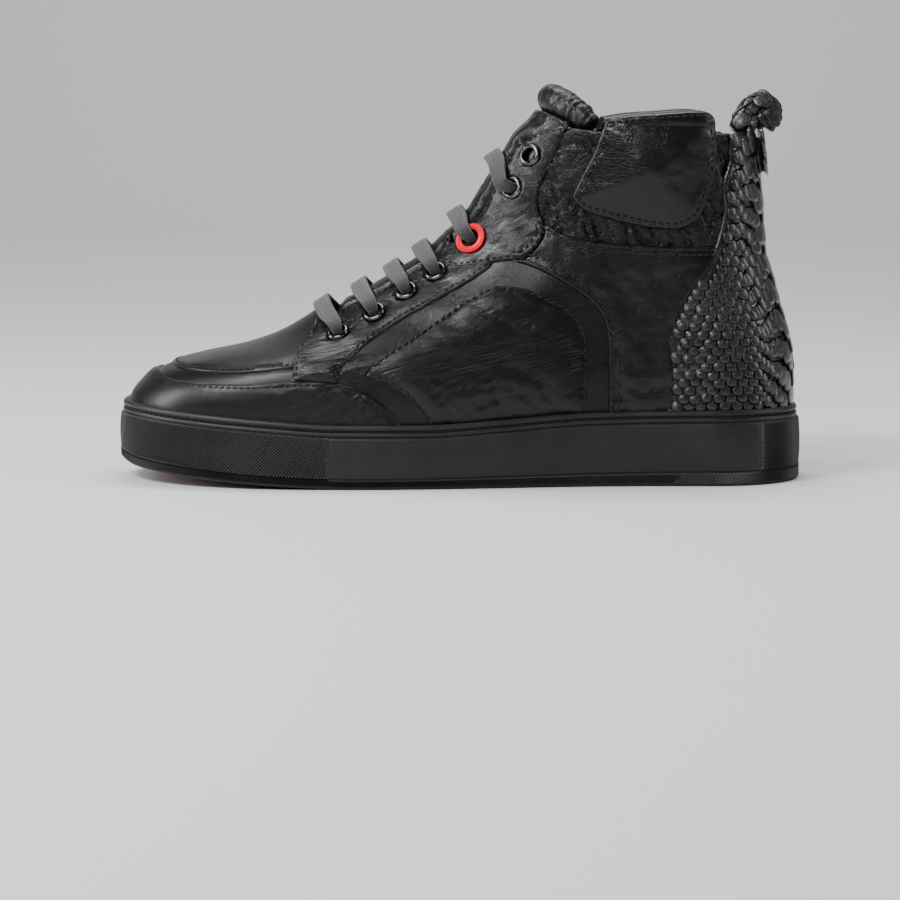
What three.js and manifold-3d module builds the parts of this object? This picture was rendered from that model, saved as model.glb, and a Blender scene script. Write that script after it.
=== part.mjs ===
// A left basketball high top: a rubber cupsole with inset treads, a layered leather upper
// stitched round a foot-shaped last, a padded tongue, fourteen eyelets, one flat lace and a heel pull loop.
// Millimetres, +Z up, toe towards -X, outer (lateral) side towards -Y, standing on z = 0.
import * as THREE from "three";
import { mergeVertices } from "three/addons/utils/BufferGeometryUtils.js";
import Module from "manifold-3d";

const wasm = await Module();
wasm.setup();

// ---------- driving dimensions ----------
const gap = 0.3; // clearance between pieces that touch
const toeWiden = 6; // how far the toe tip leans to the inner side
const toeWidenStart = -65;
const lining = [-4.2, -3.4]; // each layer of the upper, as offsets from the last surface
const stiffener = [-3.1, -1.5];
const baseLeather = [-1.2, 0];
const overlay = [0.3, 1.4];
const padding = [0.3, 4.3];
const cupClear = 1.7; // the cup's inner wall, outside the overlay
const floorThickness = 6;
const collarTop = 153;
const throatHalf = { vamp: 17, collar: 12 };

// ---------- smooth curves through a few points ----------
// Monotone cubic through knots [position, value], so it never overshoots.
function through(knots) {
  const slope = knots.slice(1).map((k, i) => (k[1] - knots[i][1]) / (k[0] - knots[i][0]));
  const tangent = knots.map((_, i) => {
    if (i === 0 || i === knots.length - 1) return 0;
    const [a, b] = [slope[i - 1], slope[i]];
    return a * b <= 0 ? 0 : (2 * a * b) / (a + b);
  });
  return (at) => {
    const last = knots.length - 1;
    if (at <= knots[0][0]) return knots[0][1];
    if (at >= knots[last][0]) return knots[last][1];
    const i = knots.findIndex((k) => k[0] > at) - 1;
    const width = knots[i + 1][0] - knots[i][0];
    const t = (at - knots[i][0]) / width;
    const s = 1 - t;
    return (
      knots[i][1] * s * s * (1 + 2 * t) +
      knots[i + 1][1] * t * t * (3 - 2 * t) +
      width * t * s * (tangent[i] * s - tangent[i + 1] * t)
    );
  };
}

// ---------- the last: a stack of level sections ----------
const frontX = through([
  [34, -146.5], [38, -145], [42, -141.6], [44.8, -139], [47, -136.5], [50.8, -130], [54.6, -116],
  [59.6, -94], [65, -79.5], [70.5, -69.5], [77, -59.5], [83, -46.5], [90, -33.5], [99, -19.5],
  [110, -7], [120, 2.5], [131, 9.5], [142, 16.5], [154, 23.5], [165, 30], [186, 41],
]);
const backX = through([
  [34, 147.5], [47, 147.5], [58, 146.6], [68, 144.6], [77, 141.8], [86, 139.4], [93, 137.4],
  [101, 135], [111, 134], [120, 133.4], [137, 131.7], [155, 130], [186, 128],
]);
const frontHalf = through([[33, 48], [45, 47.5], [60, 45], [75, 41.5], [94, 38.5], [117, 35.5], [150, 34.5], [186, 36]]);
const heelHalf = through([[33, 34.5], [60, 33.5], [80, 32], [105, 31], [130, 32], [150, 33], [186, 34]]);
const noseLength = through([[34, 78], [60, 84], [75, 88], [95, 85], [117, 75], [150, 58], [186, 50]]);
const nosePower = through([[34, 2.35], [50, 2.25], [66, 1.9], [80, 1.8], [117, 1.85], [150, 2], [186, 2]]);
const heelLength = through([[34, 36], [90, 38], [150, 46], [186, 44]]);
const heelPower = 2.1;
const noseShare = 0.42; // share of a section's half turn that goes to the nose, and where the heel starts
const heelShare = 0.68;

const mix = THREE.MathUtils.lerp;
const ease = THREE.MathUtils.smoothstep;
const halfWidth = (x, z) => mix(frontHalf(z), heelHalf(z), ease(x, -45, 85));
const archPinch = (x, z) => 3 * Math.exp(-(((x - 15) / 38) ** 2)) * (1 - ease(z, 30, 75));
const centreY = (x) => toeWiden * Math.max(0, (toeWidenStart - x) / 82) ** 1.5;

// A point of the last. turn runs from 0 at the toe to 1 at the heel; side is -1 outer or 1 inner.
function lastPoint(side, turn, z) {
  const [front, back] = [frontX(z), backX(z)];
  const [nose, heel] = [noseLength(z), heelLength(z)];
  let x;
  let share = 1;
  if (turn < noseShare) {
    const angle = (turn / noseShare) * (Math.PI / 2);
    x = front + nose * (1 - Math.cos(angle) ** (2 / nosePower(z)));
    share = Math.sin(angle) ** (2 / nosePower(z));
  } else if (turn < heelShare) {
    x = mix(front + nose, back - heel, (turn - noseShare) / (heelShare - noseShare));
  } else {
    const angle = ((1 - turn) / (1 - heelShare)) * (Math.PI / 2);
    x = back - heel * (1 - Math.max(0, Math.cos(angle)) ** (2 / heelPower));
    share = Math.sin(angle) ** (2 / heelPower);
  }
  const half = halfWidth(x, z) - (side > 0 ? archPinch(x, z) : 0);
  return new THREE.Vector3(x, centreY(x) + side * half * share, z);
}

function lastNormal(side, turn, z) {
  const [low, high] = [Math.max(turn - 0.004, 0), Math.min(turn + 0.004, 1)];
  const along = lastPoint(side, high, z).sub(lastPoint(side, low, z));
  const up = lastPoint(side, turn, z + 0.4).sub(lastPoint(side, turn, z - 0.4));
  const normal = along.cross(up).multiplyScalar(-side).normalize();
  if (turn < 0.001 || turn > 0.999) normal.setY(0).normalize();
  return normal;
}

const onLast = (side, turn, z, offset) =>
  lastPoint(side, turn, z).addScaledVector(lastNormal(side, turn, z), offset);

// The turn at which the section at height z reaches x.
function turnAt(side, x, z) {
  let [low, high] = [0, 1];
  for (let i = 0; i < 30; i++) {
    const middle = (low + high) / 2;
    if (lastPoint(side, middle, z).x < x) low = middle;
    else high = middle;
  }
  return (low + high) / 2;
}

// The height at which a section has the given half width at x, on the upper side of the last.
function heightOver(side, x, y) {
  let [low, high] = [34, 178];
  for (let i = 0; i < 30; i++) {
    const z = (low + high) / 2;
    const outside = frontX(z) > x || Math.abs(lastPoint(side, turnAt(side, x, z), z).y - centreY(x)) < Math.abs(y);
    if (outside) high = z;
    else low = z;
  }
  return (low + high) / 2;
}

// ---------- solids ----------
// Merges a closed geometry's corners and makes it a solid that joins and cuts.
function solid(geometry) {
  const bare = new THREE.BufferGeometry();
  bare.setAttribute("position", geometry.getAttribute("position"));
  if (geometry.index) bare.setIndex(geometry.index);
  const merged = mergeVertices(bare, 1e-4);
  const faces = [];
  const index = merged.index.array;
  for (let i = 0; i < index.length; i += 3) {
    const [a, b, c] = [index[i], index[i + 1], index[i + 2]];
    if (a !== b && b !== c && a !== c) faces.push(a, b, c);
  }
  const made = (order) =>
    new wasm.Manifold(
      new wasm.Mesh({
        numProp: 3,
        vertProperties: merged.getAttribute("position").array,
        triVerts: new Uint32Array(order),
      }),
    );
  const body = made(faces);
  return body.volume() > 0 ? body : made(faces.reverse());
}

function geometryOf(body) {
  const mesh = body.getMesh();
  return new THREE.BufferGeometry()
    .setAttribute("position", new THREE.BufferAttribute(mesh.vertProperties, 3))
    .setIndex(new THREE.BufferAttribute(mesh.triVerts, 1));
}

// Moves every corner of a geometry with a function of its own place.
function warp(geometry, place) {
  const position = geometry.getAttribute("position");
  const corner = new THREE.Vector3();
  for (let i = 0; i < position.count; i++) {
    corner.fromBufferAttribute(position, i);
    const { x, y, z } = place(corner);
    position.setXYZ(i, x, y, z);
  }
  return geometry;
}

const ringTurns = [0, 0.08, 0.16, 0.23, 0.3, 0.37, 0.44, 0.52, 0.6, 0.68, 0.75, 0.82, 0.88, 0.94, 1];
const levels = [-5, 34, 39, 44, 48, 52, 56.5, 62, 69, 78, 89, 102, 117, 133, 150, 164, 186];

// The whole last swollen by an offset, as one closed body on a shared grid of corners.
function swollen(offset) {
  const turns = ringTurns.length - 1;
  const around = 2 * turns;
  const tube = new THREE.CylinderGeometry(1, 1, 1, around, levels.length - 1);
  return solid(
    warp(tube, (corner) => {
      const level = Math.round((corner.y + 0.5) * (levels.length - 1));
      const z = levels[level] + (offset < 0 && level === levels.length - 1 ? 1 : 0);
      if (Math.hypot(corner.x, corner.z) < 0.5)
        return new THREE.Vector3(mix(frontX(z), backX(z), 0.5), 0, z);
      const step = Math.round(((Math.atan2(corner.x, corner.z) / (2 * Math.PI) + 1) % 1) * around) % around;
      const side = step <= turns ? 1 : -1;
      const turn = ringTurns[step <= turns ? step : around - step];
      return onLast(side, turn, z, offset);
    }),
  );
}

const grown = new Map();
const volume = (offset) => {
  if (!grown.has(offset)) grown.set(offset, swollen(offset));
  return grown.get(offset);
};
const layer = ([inner, outer]) => volume(outer).subtract(volume(inner));

// A side outline [x, z] swept across the shoe from y = low to y = high.
function sideSlab(outline, low = -80, high = 80) {
  const shape = new THREE.Shape(outline.map(([x, z]) => new THREE.Vector2(x, z)));
  const block = new THREE.ExtrudeGeometry(shape, { depth: high - low, bevelEnabled: false });
  block.rotateX(Math.PI / 2).translate(0, high, 0);
  return solid(block);
}

// A smooth curve through side points, as a list of outline points.
function curve(points, steps) {
  const spline = new THREE.CatmullRomCurve3(points.map(([x, z]) => new THREE.Vector3(x, 0, z)), false, "centripetal");
  return spline.getPoints(steps).map((p) => [p.x, p.z]);
}

const outer = [-80, -0.15];
const inner = [0.15, 80];
const sides = { lateral: outer, medial: inner };

// ---------- heights along the shoe ----------
const soleTop = through([[-149, 35.3], [-134, 34], [-110, 32], [-81, 30], [-54, 28.4], [-14, 28.2], [21, 30.2], [56, 32.6], [90, 33.3], [150, 33.6]]);
const soleBottom = through([[-153, 9], [-144, 7], [-127, 5], [-110, 3.4], [-90, 1.9], [-65, 0.6], [-45, 0]]);
const fillTop = (x) => soleBottom(x) + mix(12, 17, ease(x, -60, 60));
const stations = Array.from({ length: 25 }, (_, i) => -170 + i * 14.2);

// The band between two height lines, through the whole width.
function heightBand(low, high) {
  return sideSlab([...stations.map((x) => [x, low(x)]), ...stations.map((x) => [x, high(x)]).reverse()]);
}
const aboveFill = heightBand((x) => fillTop(x) + gap, () => 200);

// ---------- bottom unit ----------
const grooveDepth = 1.2;
function cupShell() {
  const turns = ringTurns.length - 1;
  const around = 2 * turns;
  // Each ring: offset from the last at toe and heel, and height from the ground or from the top line.
  const rings = [
    { toe: 5.4, heel: 4.4, z: () => -2 },
    { toe: 6.2, heel: 5, z: () => 8 },
    { toe: 5.6, heel: 5, z: (x) => soleTop(x) - 7.4 },
    { toe: 5.6 - grooveDepth, heel: 5 - grooveDepth, z: (x) => soleTop(x) - 6.9 },
    { toe: 4.2, heel: 4.2, z: (x) => soleTop(x) - 3 },
    { toe: 3.2, heel: 4, z: (x) => soleTop(x) },
  ];
  const tube = new THREE.CylinderGeometry(1, 1, 1, around, rings.length - 1);
  const outside = solid(
    warp(tube, (corner) => {
      const ring = rings[Math.round((corner.y + 0.5) * (rings.length - 1))];
      if (Math.hypot(corner.x, corner.z) < 0.5) return new THREE.Vector3(0, 0, ring.z(0));
      const step = Math.round(((Math.atan2(corner.x, corner.z) / (2 * Math.PI) + 1) % 1) * around) % around;
      const side = step <= turns ? 1 : -1;
      const turn = ringTurns[step <= turns ? step : around - step];
      const place = onLast(side, turn, 20, mix(ring.toe, ring.heel, turn));
      return place.setZ(ring.z(place.x));
    }),
  );
  return outside.intersect(heightBand(soleBottom, () => 60));
}
const cupFloor = (x) => soleBottom(x) + floorThickness;
const treadOutline = -3;
const treadDepth = 2;
const foreTreadEnd = 12;
const heelTreadStart = 48;
const longSlab = (from, to) => sideSlab([[from, -10], [to, -10], [to, 200], [from, 200]]);

function tread(from, to, spare) {
  const depth = heightBand((x) => soleBottom(x) - (spare ? 3 : 0), (x) => soleBottom(x) + treadDepth + spare);
  return volume(treadOutline + spare).intersect(depth).intersect(longSlab(from - spare, to + spare));
}
const cupsole = cupShell()
  .subtract(volume(cupClear).intersect(heightBand(cupFloor, () => 200)))
  .subtract(tread(-160, foreTreadEnd, gap))
  .subtract(tread(heelTreadStart, 160, gap));

// ---------- seam lines of the upper, in side view ----------
const mudguardTop = curve([[-141, 49.5], [-133, 47.2], [-122, 45.3], [-106, 45], [-90, 45.5], [-74, 47], [-57, 47], [-48, 45], [-39, 41], [-32, 36], [-27, 31], [-23, 22]], 18);
const plugSeam = curve([[-134, 52.5], [-127, 51], [-118, 49.8], [-103, 49.2], [-90, 50], [-75, 52]], 8);
const eyestayFront = curve([[-73.5, 47.6], [-72.3, 55], [-70, 61], [-66, 66.5], [-60, 73.5], [-57, 82]], 8);
const eyestayLower = curve([[-53, 47.6], [-51, 53], [-46, 58], [-34, 67], [-21, 75], [-7, 82.5], [6, 90], [16, 97]], 9);
const ankleLobe = curve([[-9, 116], [-4.5, 109], [-6.5, 105], [-8, 101], [-7, 97], [-3.5, 94.8], [3, 95], [13, 97], [23, 98.6]], 12);
const quarterArch = curve([[23, 98.6], [30, 96.5], [40, 92.3], [51, 86], [58, 80.5], [63, 74], [65, 65], [65.5, 48], [65.5, 10]], 10);
const facingSeam = curve([[25, 98.4], [29, 99.5], [34, 104], [38, 110], [37.5, 115]], 4);
const facingBack = curve([[37.5, 115], [35.2, 122], [36, 130], [38, 136], [41, 142], [44, 149], [48.5, 159]], 7);
const collarLower = curve([[37.5, 115], [40.5, 113.5], [46, 110.3], [56, 107.6], [74, 106], [92, 105.2], [112, 105]], 7);
const heelEdge = curve([[92, 8], [92, 46], [91, 60], [91.3, 68], [94, 76], [98, 84], [104, 91.5], [109, 98.5], [112, 104.8]], 9);
const insetOutline = [
  ...curve([[-44, 50], [-35, 57], [-22, 65], [-9, 74], [4, 82.5], [13, 87], [20, 88], [27, 87], [39, 83], [47, 78.5], [53, 73], [56, 66], [56.5, 48], [56.5, 10]], 14),
  ...curve([[-6, 10], [-13, 28], [-17, 33], [-22, 39], [-28, 44], [-35, 47.5], [-44, 50]], 7).slice(0, -1),
];
const padOutline = curve(
  [[64, 161], [85, 163], [108, 164], [111, 160], [112, 150], [112, 138], [108.5, 126], [104, 116.5], [97, 112.6], [87, 112.8], [76, 114.6], [64, 117.5], [54, 121], [49.5, 126], [53, 134], [57, 142], [60, 148], [62.5, 156], [64, 161]],
  20,
).slice(0, -1);

// ---------- upper ----------
// The lace gap: a wedge down the middle, wider at the vamp.
function throatCut(spare) {
  const [front, back] = [-62, 70];
  const plan = new THREE.Shape([
    new THREE.Vector2(front, -throatHalf.vamp - spare),
    new THREE.Vector2(back, -throatHalf.collar - spare),
    new THREE.Vector2(back, throatHalf.collar + spare),
    new THREE.Vector2(front, throatHalf.vamp + spare),
  ]);
  const block = new THREE.ExtrudeGeometry(plan, { depth: 150, bevelEnabled: false }).translate(0, 0, 60);
  return solid(block);
}
const throat = throatCut(0);

// One leather panel: a layer of the upper inside a side outline.
function panel(thickness, outline, [low, high] = [-80, 80]) {
  return layer(thickness).intersect(aboveFill).intersect(sideSlab(outline, low, high));
}
const shift = (points, dx, dz) => points.map(([x, z]) => [x + dx, z + dz]);

const mudguard = panel(overlay, [[-170, 49.5], ...mudguardTop, [-23, 5], [-170, 5]]);
const vampSeamX = -63;
const vampEdge = [[vampSeamX, 5], [vampSeamX, 200], [-170, 200], [-170, 5]];
const vamp = panel(baseLeather, vampEdge);
const vampPlug = panel(overlay, [...plugSeam, ...shift(eyestayFront.slice(2), -0.9, 0), [-62, 120], [-170, 120], [-170, 52.5]]);

// Everything that comes in an outer and an inner copy.
function eyestay(half) {
  const outline = [
    ...eyestayFront,
    [-57, 120],
    ...shift(ankleLobe.slice(0, 10), -0.5, -0.5),
    ...[...shift(eyestayLower, -0.2, 0.2)].reverse().filter(([x]) => x < 1),
  ];
  return panel(overlay, [[-73.5, 47.9], ...outline.slice(1)], half).subtract(throat);
}
function sideFrame(half) {
  const outline = [[vampSeamX + gap, 5], [73, 5], [73, 96], [37.1, 103], [37.1, 113], [46.6, 152], [-62.7, 152]];
  return panel(baseLeather, outline, half).subtract(throat);
}
const sideInset = (half) => panel(overlay, insetOutline, half);
function ankleFacing(half) {
  const outline = [
    ...ankleLobe,
    ...shift(facingSeam, -0.35, 0.1),
    ...shift(facingBack.slice(1), -0.35, 0),
    [36, 155.5], [29, 150.5], [20, 158], [-20, 158],
  ];
  return panel(overlay, outline, half).subtract(throat);
}
function rearQuarter(half) {
  const outline = [
    ...shift(facingSeam, 0.35, -0.35),
    ...shift(collarLower.slice(1), 0, -0.3),
    ...[...shift(heelEdge, -0.35, -0.3)].reverse(),
    [65.5, 8],
    ...[...quarterArch].reverse().slice(1, -1),
  ];
  return panel(overlay, outline, half);
}
function collarPanel(half) {
  const outline = [[37.4, 103.4], [73.4, 96.4], [73.4, 89], [119, 89], [119, collarTop], [47, collarTop], [37.4, 113]];
  return panel(baseLeather, outline, half);
}
function collarPad(half) {
  const outside = panel(padding, padOutline, half);
  const cuffTop = [[55, collarTop + 0.6], [120, collarTop + 0.6], [120, 175], [55, 175]];
  const cuff = volume(padding[1]).subtract(volume(-5.5)).intersect(sideSlab(padOutline, ...half)).intersect(sideSlab(cuffTop));
  return outside.add(cuff);
}
function quarterLining(half) {
  const outline = [[vampSeamX + gap, 5], [160, 5], [160, collarTop], [45, collarTop], [36, 145], [10, 145], [-62.7, 90]];
  return panel(lining, outline, half).subtract(throatCut(1.5));
}
function collarFoam(half) {
  return panel(stiffener, [[45, 110], [118, 106], [118, 150], [50, 150]], half);
}
const vampLining = panel(lining, vampEdge);
const toePuff = panel(stiffener, [[-170, 5], [-106, 5], [-104, 80], [-170, 80]]);
const heelCounter = panel([stiffener[0], baseLeather[1]], [[77, 5], [170, 5], [170, 88], [77, 88]]);
const heelPanel = panel(overlay, [...heelEdge, [170, 104.8], [170, 8]]);
const backstay = panel([baseLeather[0], overlay[1]], [[119.3, 105.2], [119.3, collarTop], [170, collarTop], [170, 105.2]]);

// ---------- footbed and fillings ----------
const plate = (offset, low, high) => volume(offset).intersect(heightBand(low, high));
const midsole = plate(cupClear - gap, (x) => cupFloor(x) + gap, fillTop);
const insoleBoard = plate(-4.6, (x) => fillTop(x) + gap, (x) => fillTop(x) + 2.1);
const footbed = plate(-5, (x) => fillTop(x) + 2.4, (x) => fillTop(x) + 7);

// ---------- eyelets ----------
const eyeletSpots = [[-53, 66], [-37, 75], [-23, 84], [-10, 92.5], [6, 107], [24, 130], [32, 144.3]];
const wideEyelet = 4; // the fifth eyelet, counted from the vamp, is the large red one
const smallEyelet = { bore: 3.1, barrel: 3.6, flange: 4.9 };
const largeEyelet = { bore: 3.7, barrel: 4.3, flange: 7.4 };
const eyeletSides = 10;

function eyeletPlace(side, index) {
  const [x, z] = eyeletSpots[index];
  const turn = turnAt(side, x, z);
  return { at: lastPoint(side, turn, z), normal: lastNormal(side, turn, z) };
}
const eyeletSize = (index) => (index === wideEyelet ? largeEyelet : smallEyelet);

// A ring with a flange outside, a barrel through the leather and a rolled rim inside.
function eyeletGeometry({ bore, barrel, flange }) {
  const seat = overlay[1] + 0.7;
  const profile = [
    [bore, -2.3], [barrel, -2.3], [barrel, seat], [flange, seat], [flange - 0.7, seat + 0.9], [bore, seat + 0.7], [bore, -2.3],
  ].map(([r, h]) => new THREE.Vector2(r, h));
  return new THREE.LatheGeometry(profile, eyeletSides).rotateX(Math.PI / 2);
}
function drill(side, body, indices, spare = 0.35) {
  return indices.reduce((cut, index) => {
    const { at, normal } = eyeletPlace(side, index);
    const radius = eyeletSize(index).barrel + spare;
    const pin = new THREE.CylinderGeometry(radius, radius, 24, eyeletSides).rotateX(Math.PI / 2);
    pin.applyQuaternion(new THREE.Quaternion().setFromUnitVectors(new THREE.Vector3(0, 0, 1), normal));
    pin.translate(at.x, at.y, at.z);
    return cut.subtract(solid(pin));
  }, body);
}

// ---------- tongue ----------
const tongueOffsets = [-11.3, -7.9];
const rollOffsets = [-14.4, -6.4];
const tongueOutline = [[-76, 54], [-48, 62], [-4, 86], [20, 108], [38, 130], [54, 151.6], [10, 151.6], [-76, 112]];
const rollOutline = curve([[31, 152], [32, 160], [34, 170], [41, 176.6], [49, 172], [56, 165.5], [57.5, 160], [55, 152]], 10);
const tongue = layer(tongueOffsets).intersect(sideSlab(tongueOutline, -24, 24));
const tongueRoll = layer(rollOffsets).intersect(sideSlab(rollOutline, -25, 25));

// ---------- pull loop ----------
const loopWidth = 22;
const loopOutside = [[121, 154], [122, 158], [124, 166], [128, 171.5], [134, 173], [139.5, 172.5], [141.5, 164], [141.5, 157], [138.5, 154]];
const loopInside = [[124.2, 156.6], [126.5, 165], [129.5, 169], [134, 170.3], [137.3, 169.7], [138.7, 164], [138.6, 157.6], [137.5, 156.6]];
const pullLoop = sideSlab(loopOutside, -loopWidth / 2, loopWidth / 2).subtract(sideSlab(loopInside));
const loopAnchor = layer([overlay[1] + gap, overlay[1] + gap + 2.3]).intersect(
  sideSlab([[120, 136], [160, 136], [160, 151.2], [120, 151.2]], -loopWidth / 2, loopWidth / 2),
);

// ---------- lace ----------
const laceThickness = 1.5;
const laceWidth = { bar: 6.4, bore: 3.4, inside: 4 };
const overFacing = overlay[1] + 0.35 + laceThickness / 2;
const overEyelet = overlay[1] + 2.2 + laceThickness / 2;
const underFacing = -5.75;
const outwards = new THREE.Vector2(-0.54, 0.84); // away from the foot, in side view, along the throat

// The point above the throat where the last, at a distance y from its centre line, is left.
function overThroat(index, y, offset) {
  const [x0, z0] = eyeletSpots[index];
  let [low, high] = [-6, 40];
  for (let i = 0; i < 24; i++) {
    const s = (low + high) / 2;
    const [x, z] = [x0 + outwards.x * s, z0 + outwards.y * s];
    const covers = x > frontX(z) && Math.abs(lastPoint(1, turnAt(1, x, z), z).y - centreY(x)) > Math.abs(y);
    if (covers) low = s;
    else high = s;
  }
  const s = low + offset;
  return new THREE.Vector3(x0 + outwards.x * s, y, z0 + outwards.y * s);
}
const upThroat = new THREE.Vector3(outwards.x, 0, outwards.y);

// One straight bar, from inside the upper on one side to inside on the other.
function laceBar(index, from) {
  const end = (side) => {
    const { at, normal } = eyeletPlace(side, index);
    const across = new THREE.Vector3(0, side, 0).addScaledVector(normal, -side * normal.y).normalize();
    const rise = (offset, inward) => at.clone().addScaledVector(normal, offset).addScaledVector(across, -inward);
    return [
      { at: rise(-4.5, 0), up: across.clone().addScaledVector(upThroat, 0.1), width: laceWidth.bore, thick: 2 },
      { at: rise(0, 0), up: across, width: laceWidth.bore, thick: 2 },
      { at: rise(3.3, 0.3), up: across.clone().addScaledVector(normal, 0.6), width: laceWidth.bore, thick: 1.8 },
      { at: rise(overEyelet + 0.5, eyeletSize(index).bore), up: normal, width: 4.6, thick: laceThickness },
    ];
  };
  const middle = [0.55, 0, -0.55].map((share) => {
    const y = from * share * Math.abs(eyeletPlace(1, index).at.y);
    const up = upThroat.clone().add(new THREE.Vector3(0, 0.5 * from * share, 0));
    return { at: overThroat(index, y, overFacing + 0.8), up, width: laceWidth.bar, thick: laceThickness };
  });
  return [...end(from), ...middle, ...end(-from).reverse()];
}
// A stretch inside the upper through side points [x, z, how far inside the last].
function laceInside(side, spots) {
  return spots.map(([x, z, offset = underFacing]) => {
    const turn = turnAt(side, x, z);
    return { at: onLast(side, turn, z, offset), up: lastNormal(side, turn, z), width: laceWidth.inside, thick: laceThickness };
  });
}
// From one eyelet to another, passing the ones between at a sideways distance.
function laceRun(side, from, to, aside = 0) {
  const [start, end] = [eyeletSpots[from], eyeletSpots[to]];
  const spot = (share, off) => [
    mix(start[0], end[0], share) - outwards.x * off,
    mix(start[1], end[1], share) - outwards.y * off,
  ];
  if (Math.abs(to - from) === 1) return laceInside(side, [spot(0.35, 0), spot(0.65, 0)]);
  const passed = (eyeletSpots[(from + to) / 2][0] - start[0]) / (end[0] - start[0]);
  return laceInside(side, [spot(0.16, aside * 0.45), spot(passed, aside), spot(0.84, aside * 0.45)]);
}
const tails = {
  fifth: [[58, 92.5, -7], [46, 95, -7], [34, 97.5, -6.6], [23, 100.5], [13, 103.8]],
  sixth: [[32, 127.5], [42, 124], [51, 121.5, -6.6], [60, 119.6, -7], [70, 118, -7]],
};
const lacePath = [
  ...laceInside(1, tails.fifth),
  ...laceBar(4, 1), ...laceRun(-1, 4, 2, 6.5),
  ...laceBar(2, -1), ...laceRun(1, 2, 0, 6.5),
  ...laceBar(0, 1), ...laceRun(-1, 0, 1),
  ...laceBar(1, -1), ...laceRun(1, 1, 3, -6),
  ...laceBar(3, 1), ...laceRun(-1, 3, 5, -6),
  ...laceBar(5, -1), ...laceInside(1, tails.sixth),
];
const laceSteps = 2; // sections between one listed point and the next
function laceGeometry() {
  const spline = new THREE.CatmullRomCurve3(lacePath.map((point) => point.at), false, "centripetal");
  const last = lacePath.length - 1;
  const box = new THREE.BoxGeometry(1, 1, 1, 1, 1, last * laceSteps);
  return warp(box, (corner) => {
    const share = corner.z + 0.5;
    const index = Math.min(Math.floor(share * last + 1e-6), last - 1);
    const [a, b] = [lacePath[index], lacePath[index + 1]];
    const t = share * last - index;
    const along = spline.getTangent(share);
    const up = a.up.clone().normalize().lerp(b.up.clone().normalize(), t);
    up.addScaledVector(along, -up.dot(along)).normalize();
    const wide = up.clone().cross(along);
    return spline
      .getPoint(share)
      .addScaledVector(wide, corner.x * mix(a.width, b.width, t))
      .addScaledVector(up, corner.y * mix(a.thick, b.thick, t));
  });
}
// A hard tip that carries on from one end of the lace.
function aglet(end, before) {
  const tip = end.at.clone().sub(before.at).normalize();
  const length = 16;
  const rod = new THREE.CylinderGeometry(1.6, 1.6, length, 10);
  rod.applyQuaternion(new THREE.Quaternion().setFromUnitVectors(new THREE.Vector3(0, 1, 0), tip));
  const middle = end.at.clone().addScaledVector(tip, length / 2 + gap + 0.1);
  return solid(rod.translate(middle.x, middle.y, middle.z));
}

// ---------- assembly ----------
const finishes = {
  rubber: { color: 0x151517, roughness: 0.75, metalness: 0 },
  redRubber: { color: 0x8c1018, roughness: 0.5, metalness: 0 },
  leather: { color: 0x121214, roughness: 0.42, metalness: 0 },
  scaled: { color: 0x111113, roughness: 0.35, metalness: 0 },
  liningCloth: { color: 0x1a1a1c, roughness: 0.8, metalness: 0 },
  foam: { color: 0x3a3a3e, roughness: 0.9, metalness: 0 },
  board: { color: 0x6b5f50, roughness: 0.9, metalness: 0 },
  gunmetal: { color: 0x2a2a2e, roughness: 0.2, metalness: 1 },
  redEnamel: { color: 0xb5121f, roughness: 0.35, metalness: 0.6 },
  laceCotton: { color: 0x242426, roughness: 0.9, metalness: 0 },
};
const shoe = new THREE.Group();
const materials = Object.fromEntries(Object.entries(finishes).map(([name, look]) => [name, new THREE.MeshStandardMaterial(look)]));
function add(name, body, finish) {
  const geometry = body.isBufferGeometry ? body : geometryOf(body);
  const mesh = new THREE.Mesh(geometry, materials[finish]);
  mesh.name = name;
  shoe.add(mesh);
  return mesh;
}

add("cupsole", cupsole, "rubber");
add("tread_forefoot", tread(-160, foreTreadEnd, 0), "redRubber");
add("tread_heel", tread(heelTreadStart, 160, 0), "redRubber");
add("midsole_foam", midsole, "foam");
add("insole_board", insoleBoard, "board");
add("footbed", footbed, "liningCloth");
add("mudguard", mudguard, "leather");
add("vamp", vamp, "leather");
add("vamp_plug", vampPlug, "leather");
add("vamp_lining", vampLining, "liningCloth");
add("toe_puff", toePuff, "board");
add("heel_counter", heelCounter, "board");
add("heel_panel", heelPanel, "scaled");
add("backstay", backstay, "scaled");
add("pull_loop", pullLoop, "scaled");
add("pull_loop_anchor", loopAnchor, "scaled");
add("tongue", tongue, "leather");
add("tongue_roll", tongueRoll, "leather");
add("lace", solid(laceGeometry()), "laceCotton");
add("aglet_first", aglet(lacePath[0], lacePath[1]), "gunmetal");
add("aglet_second", aglet(lacePath.at(-1), lacePath.at(-2)), "gunmetal");
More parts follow.
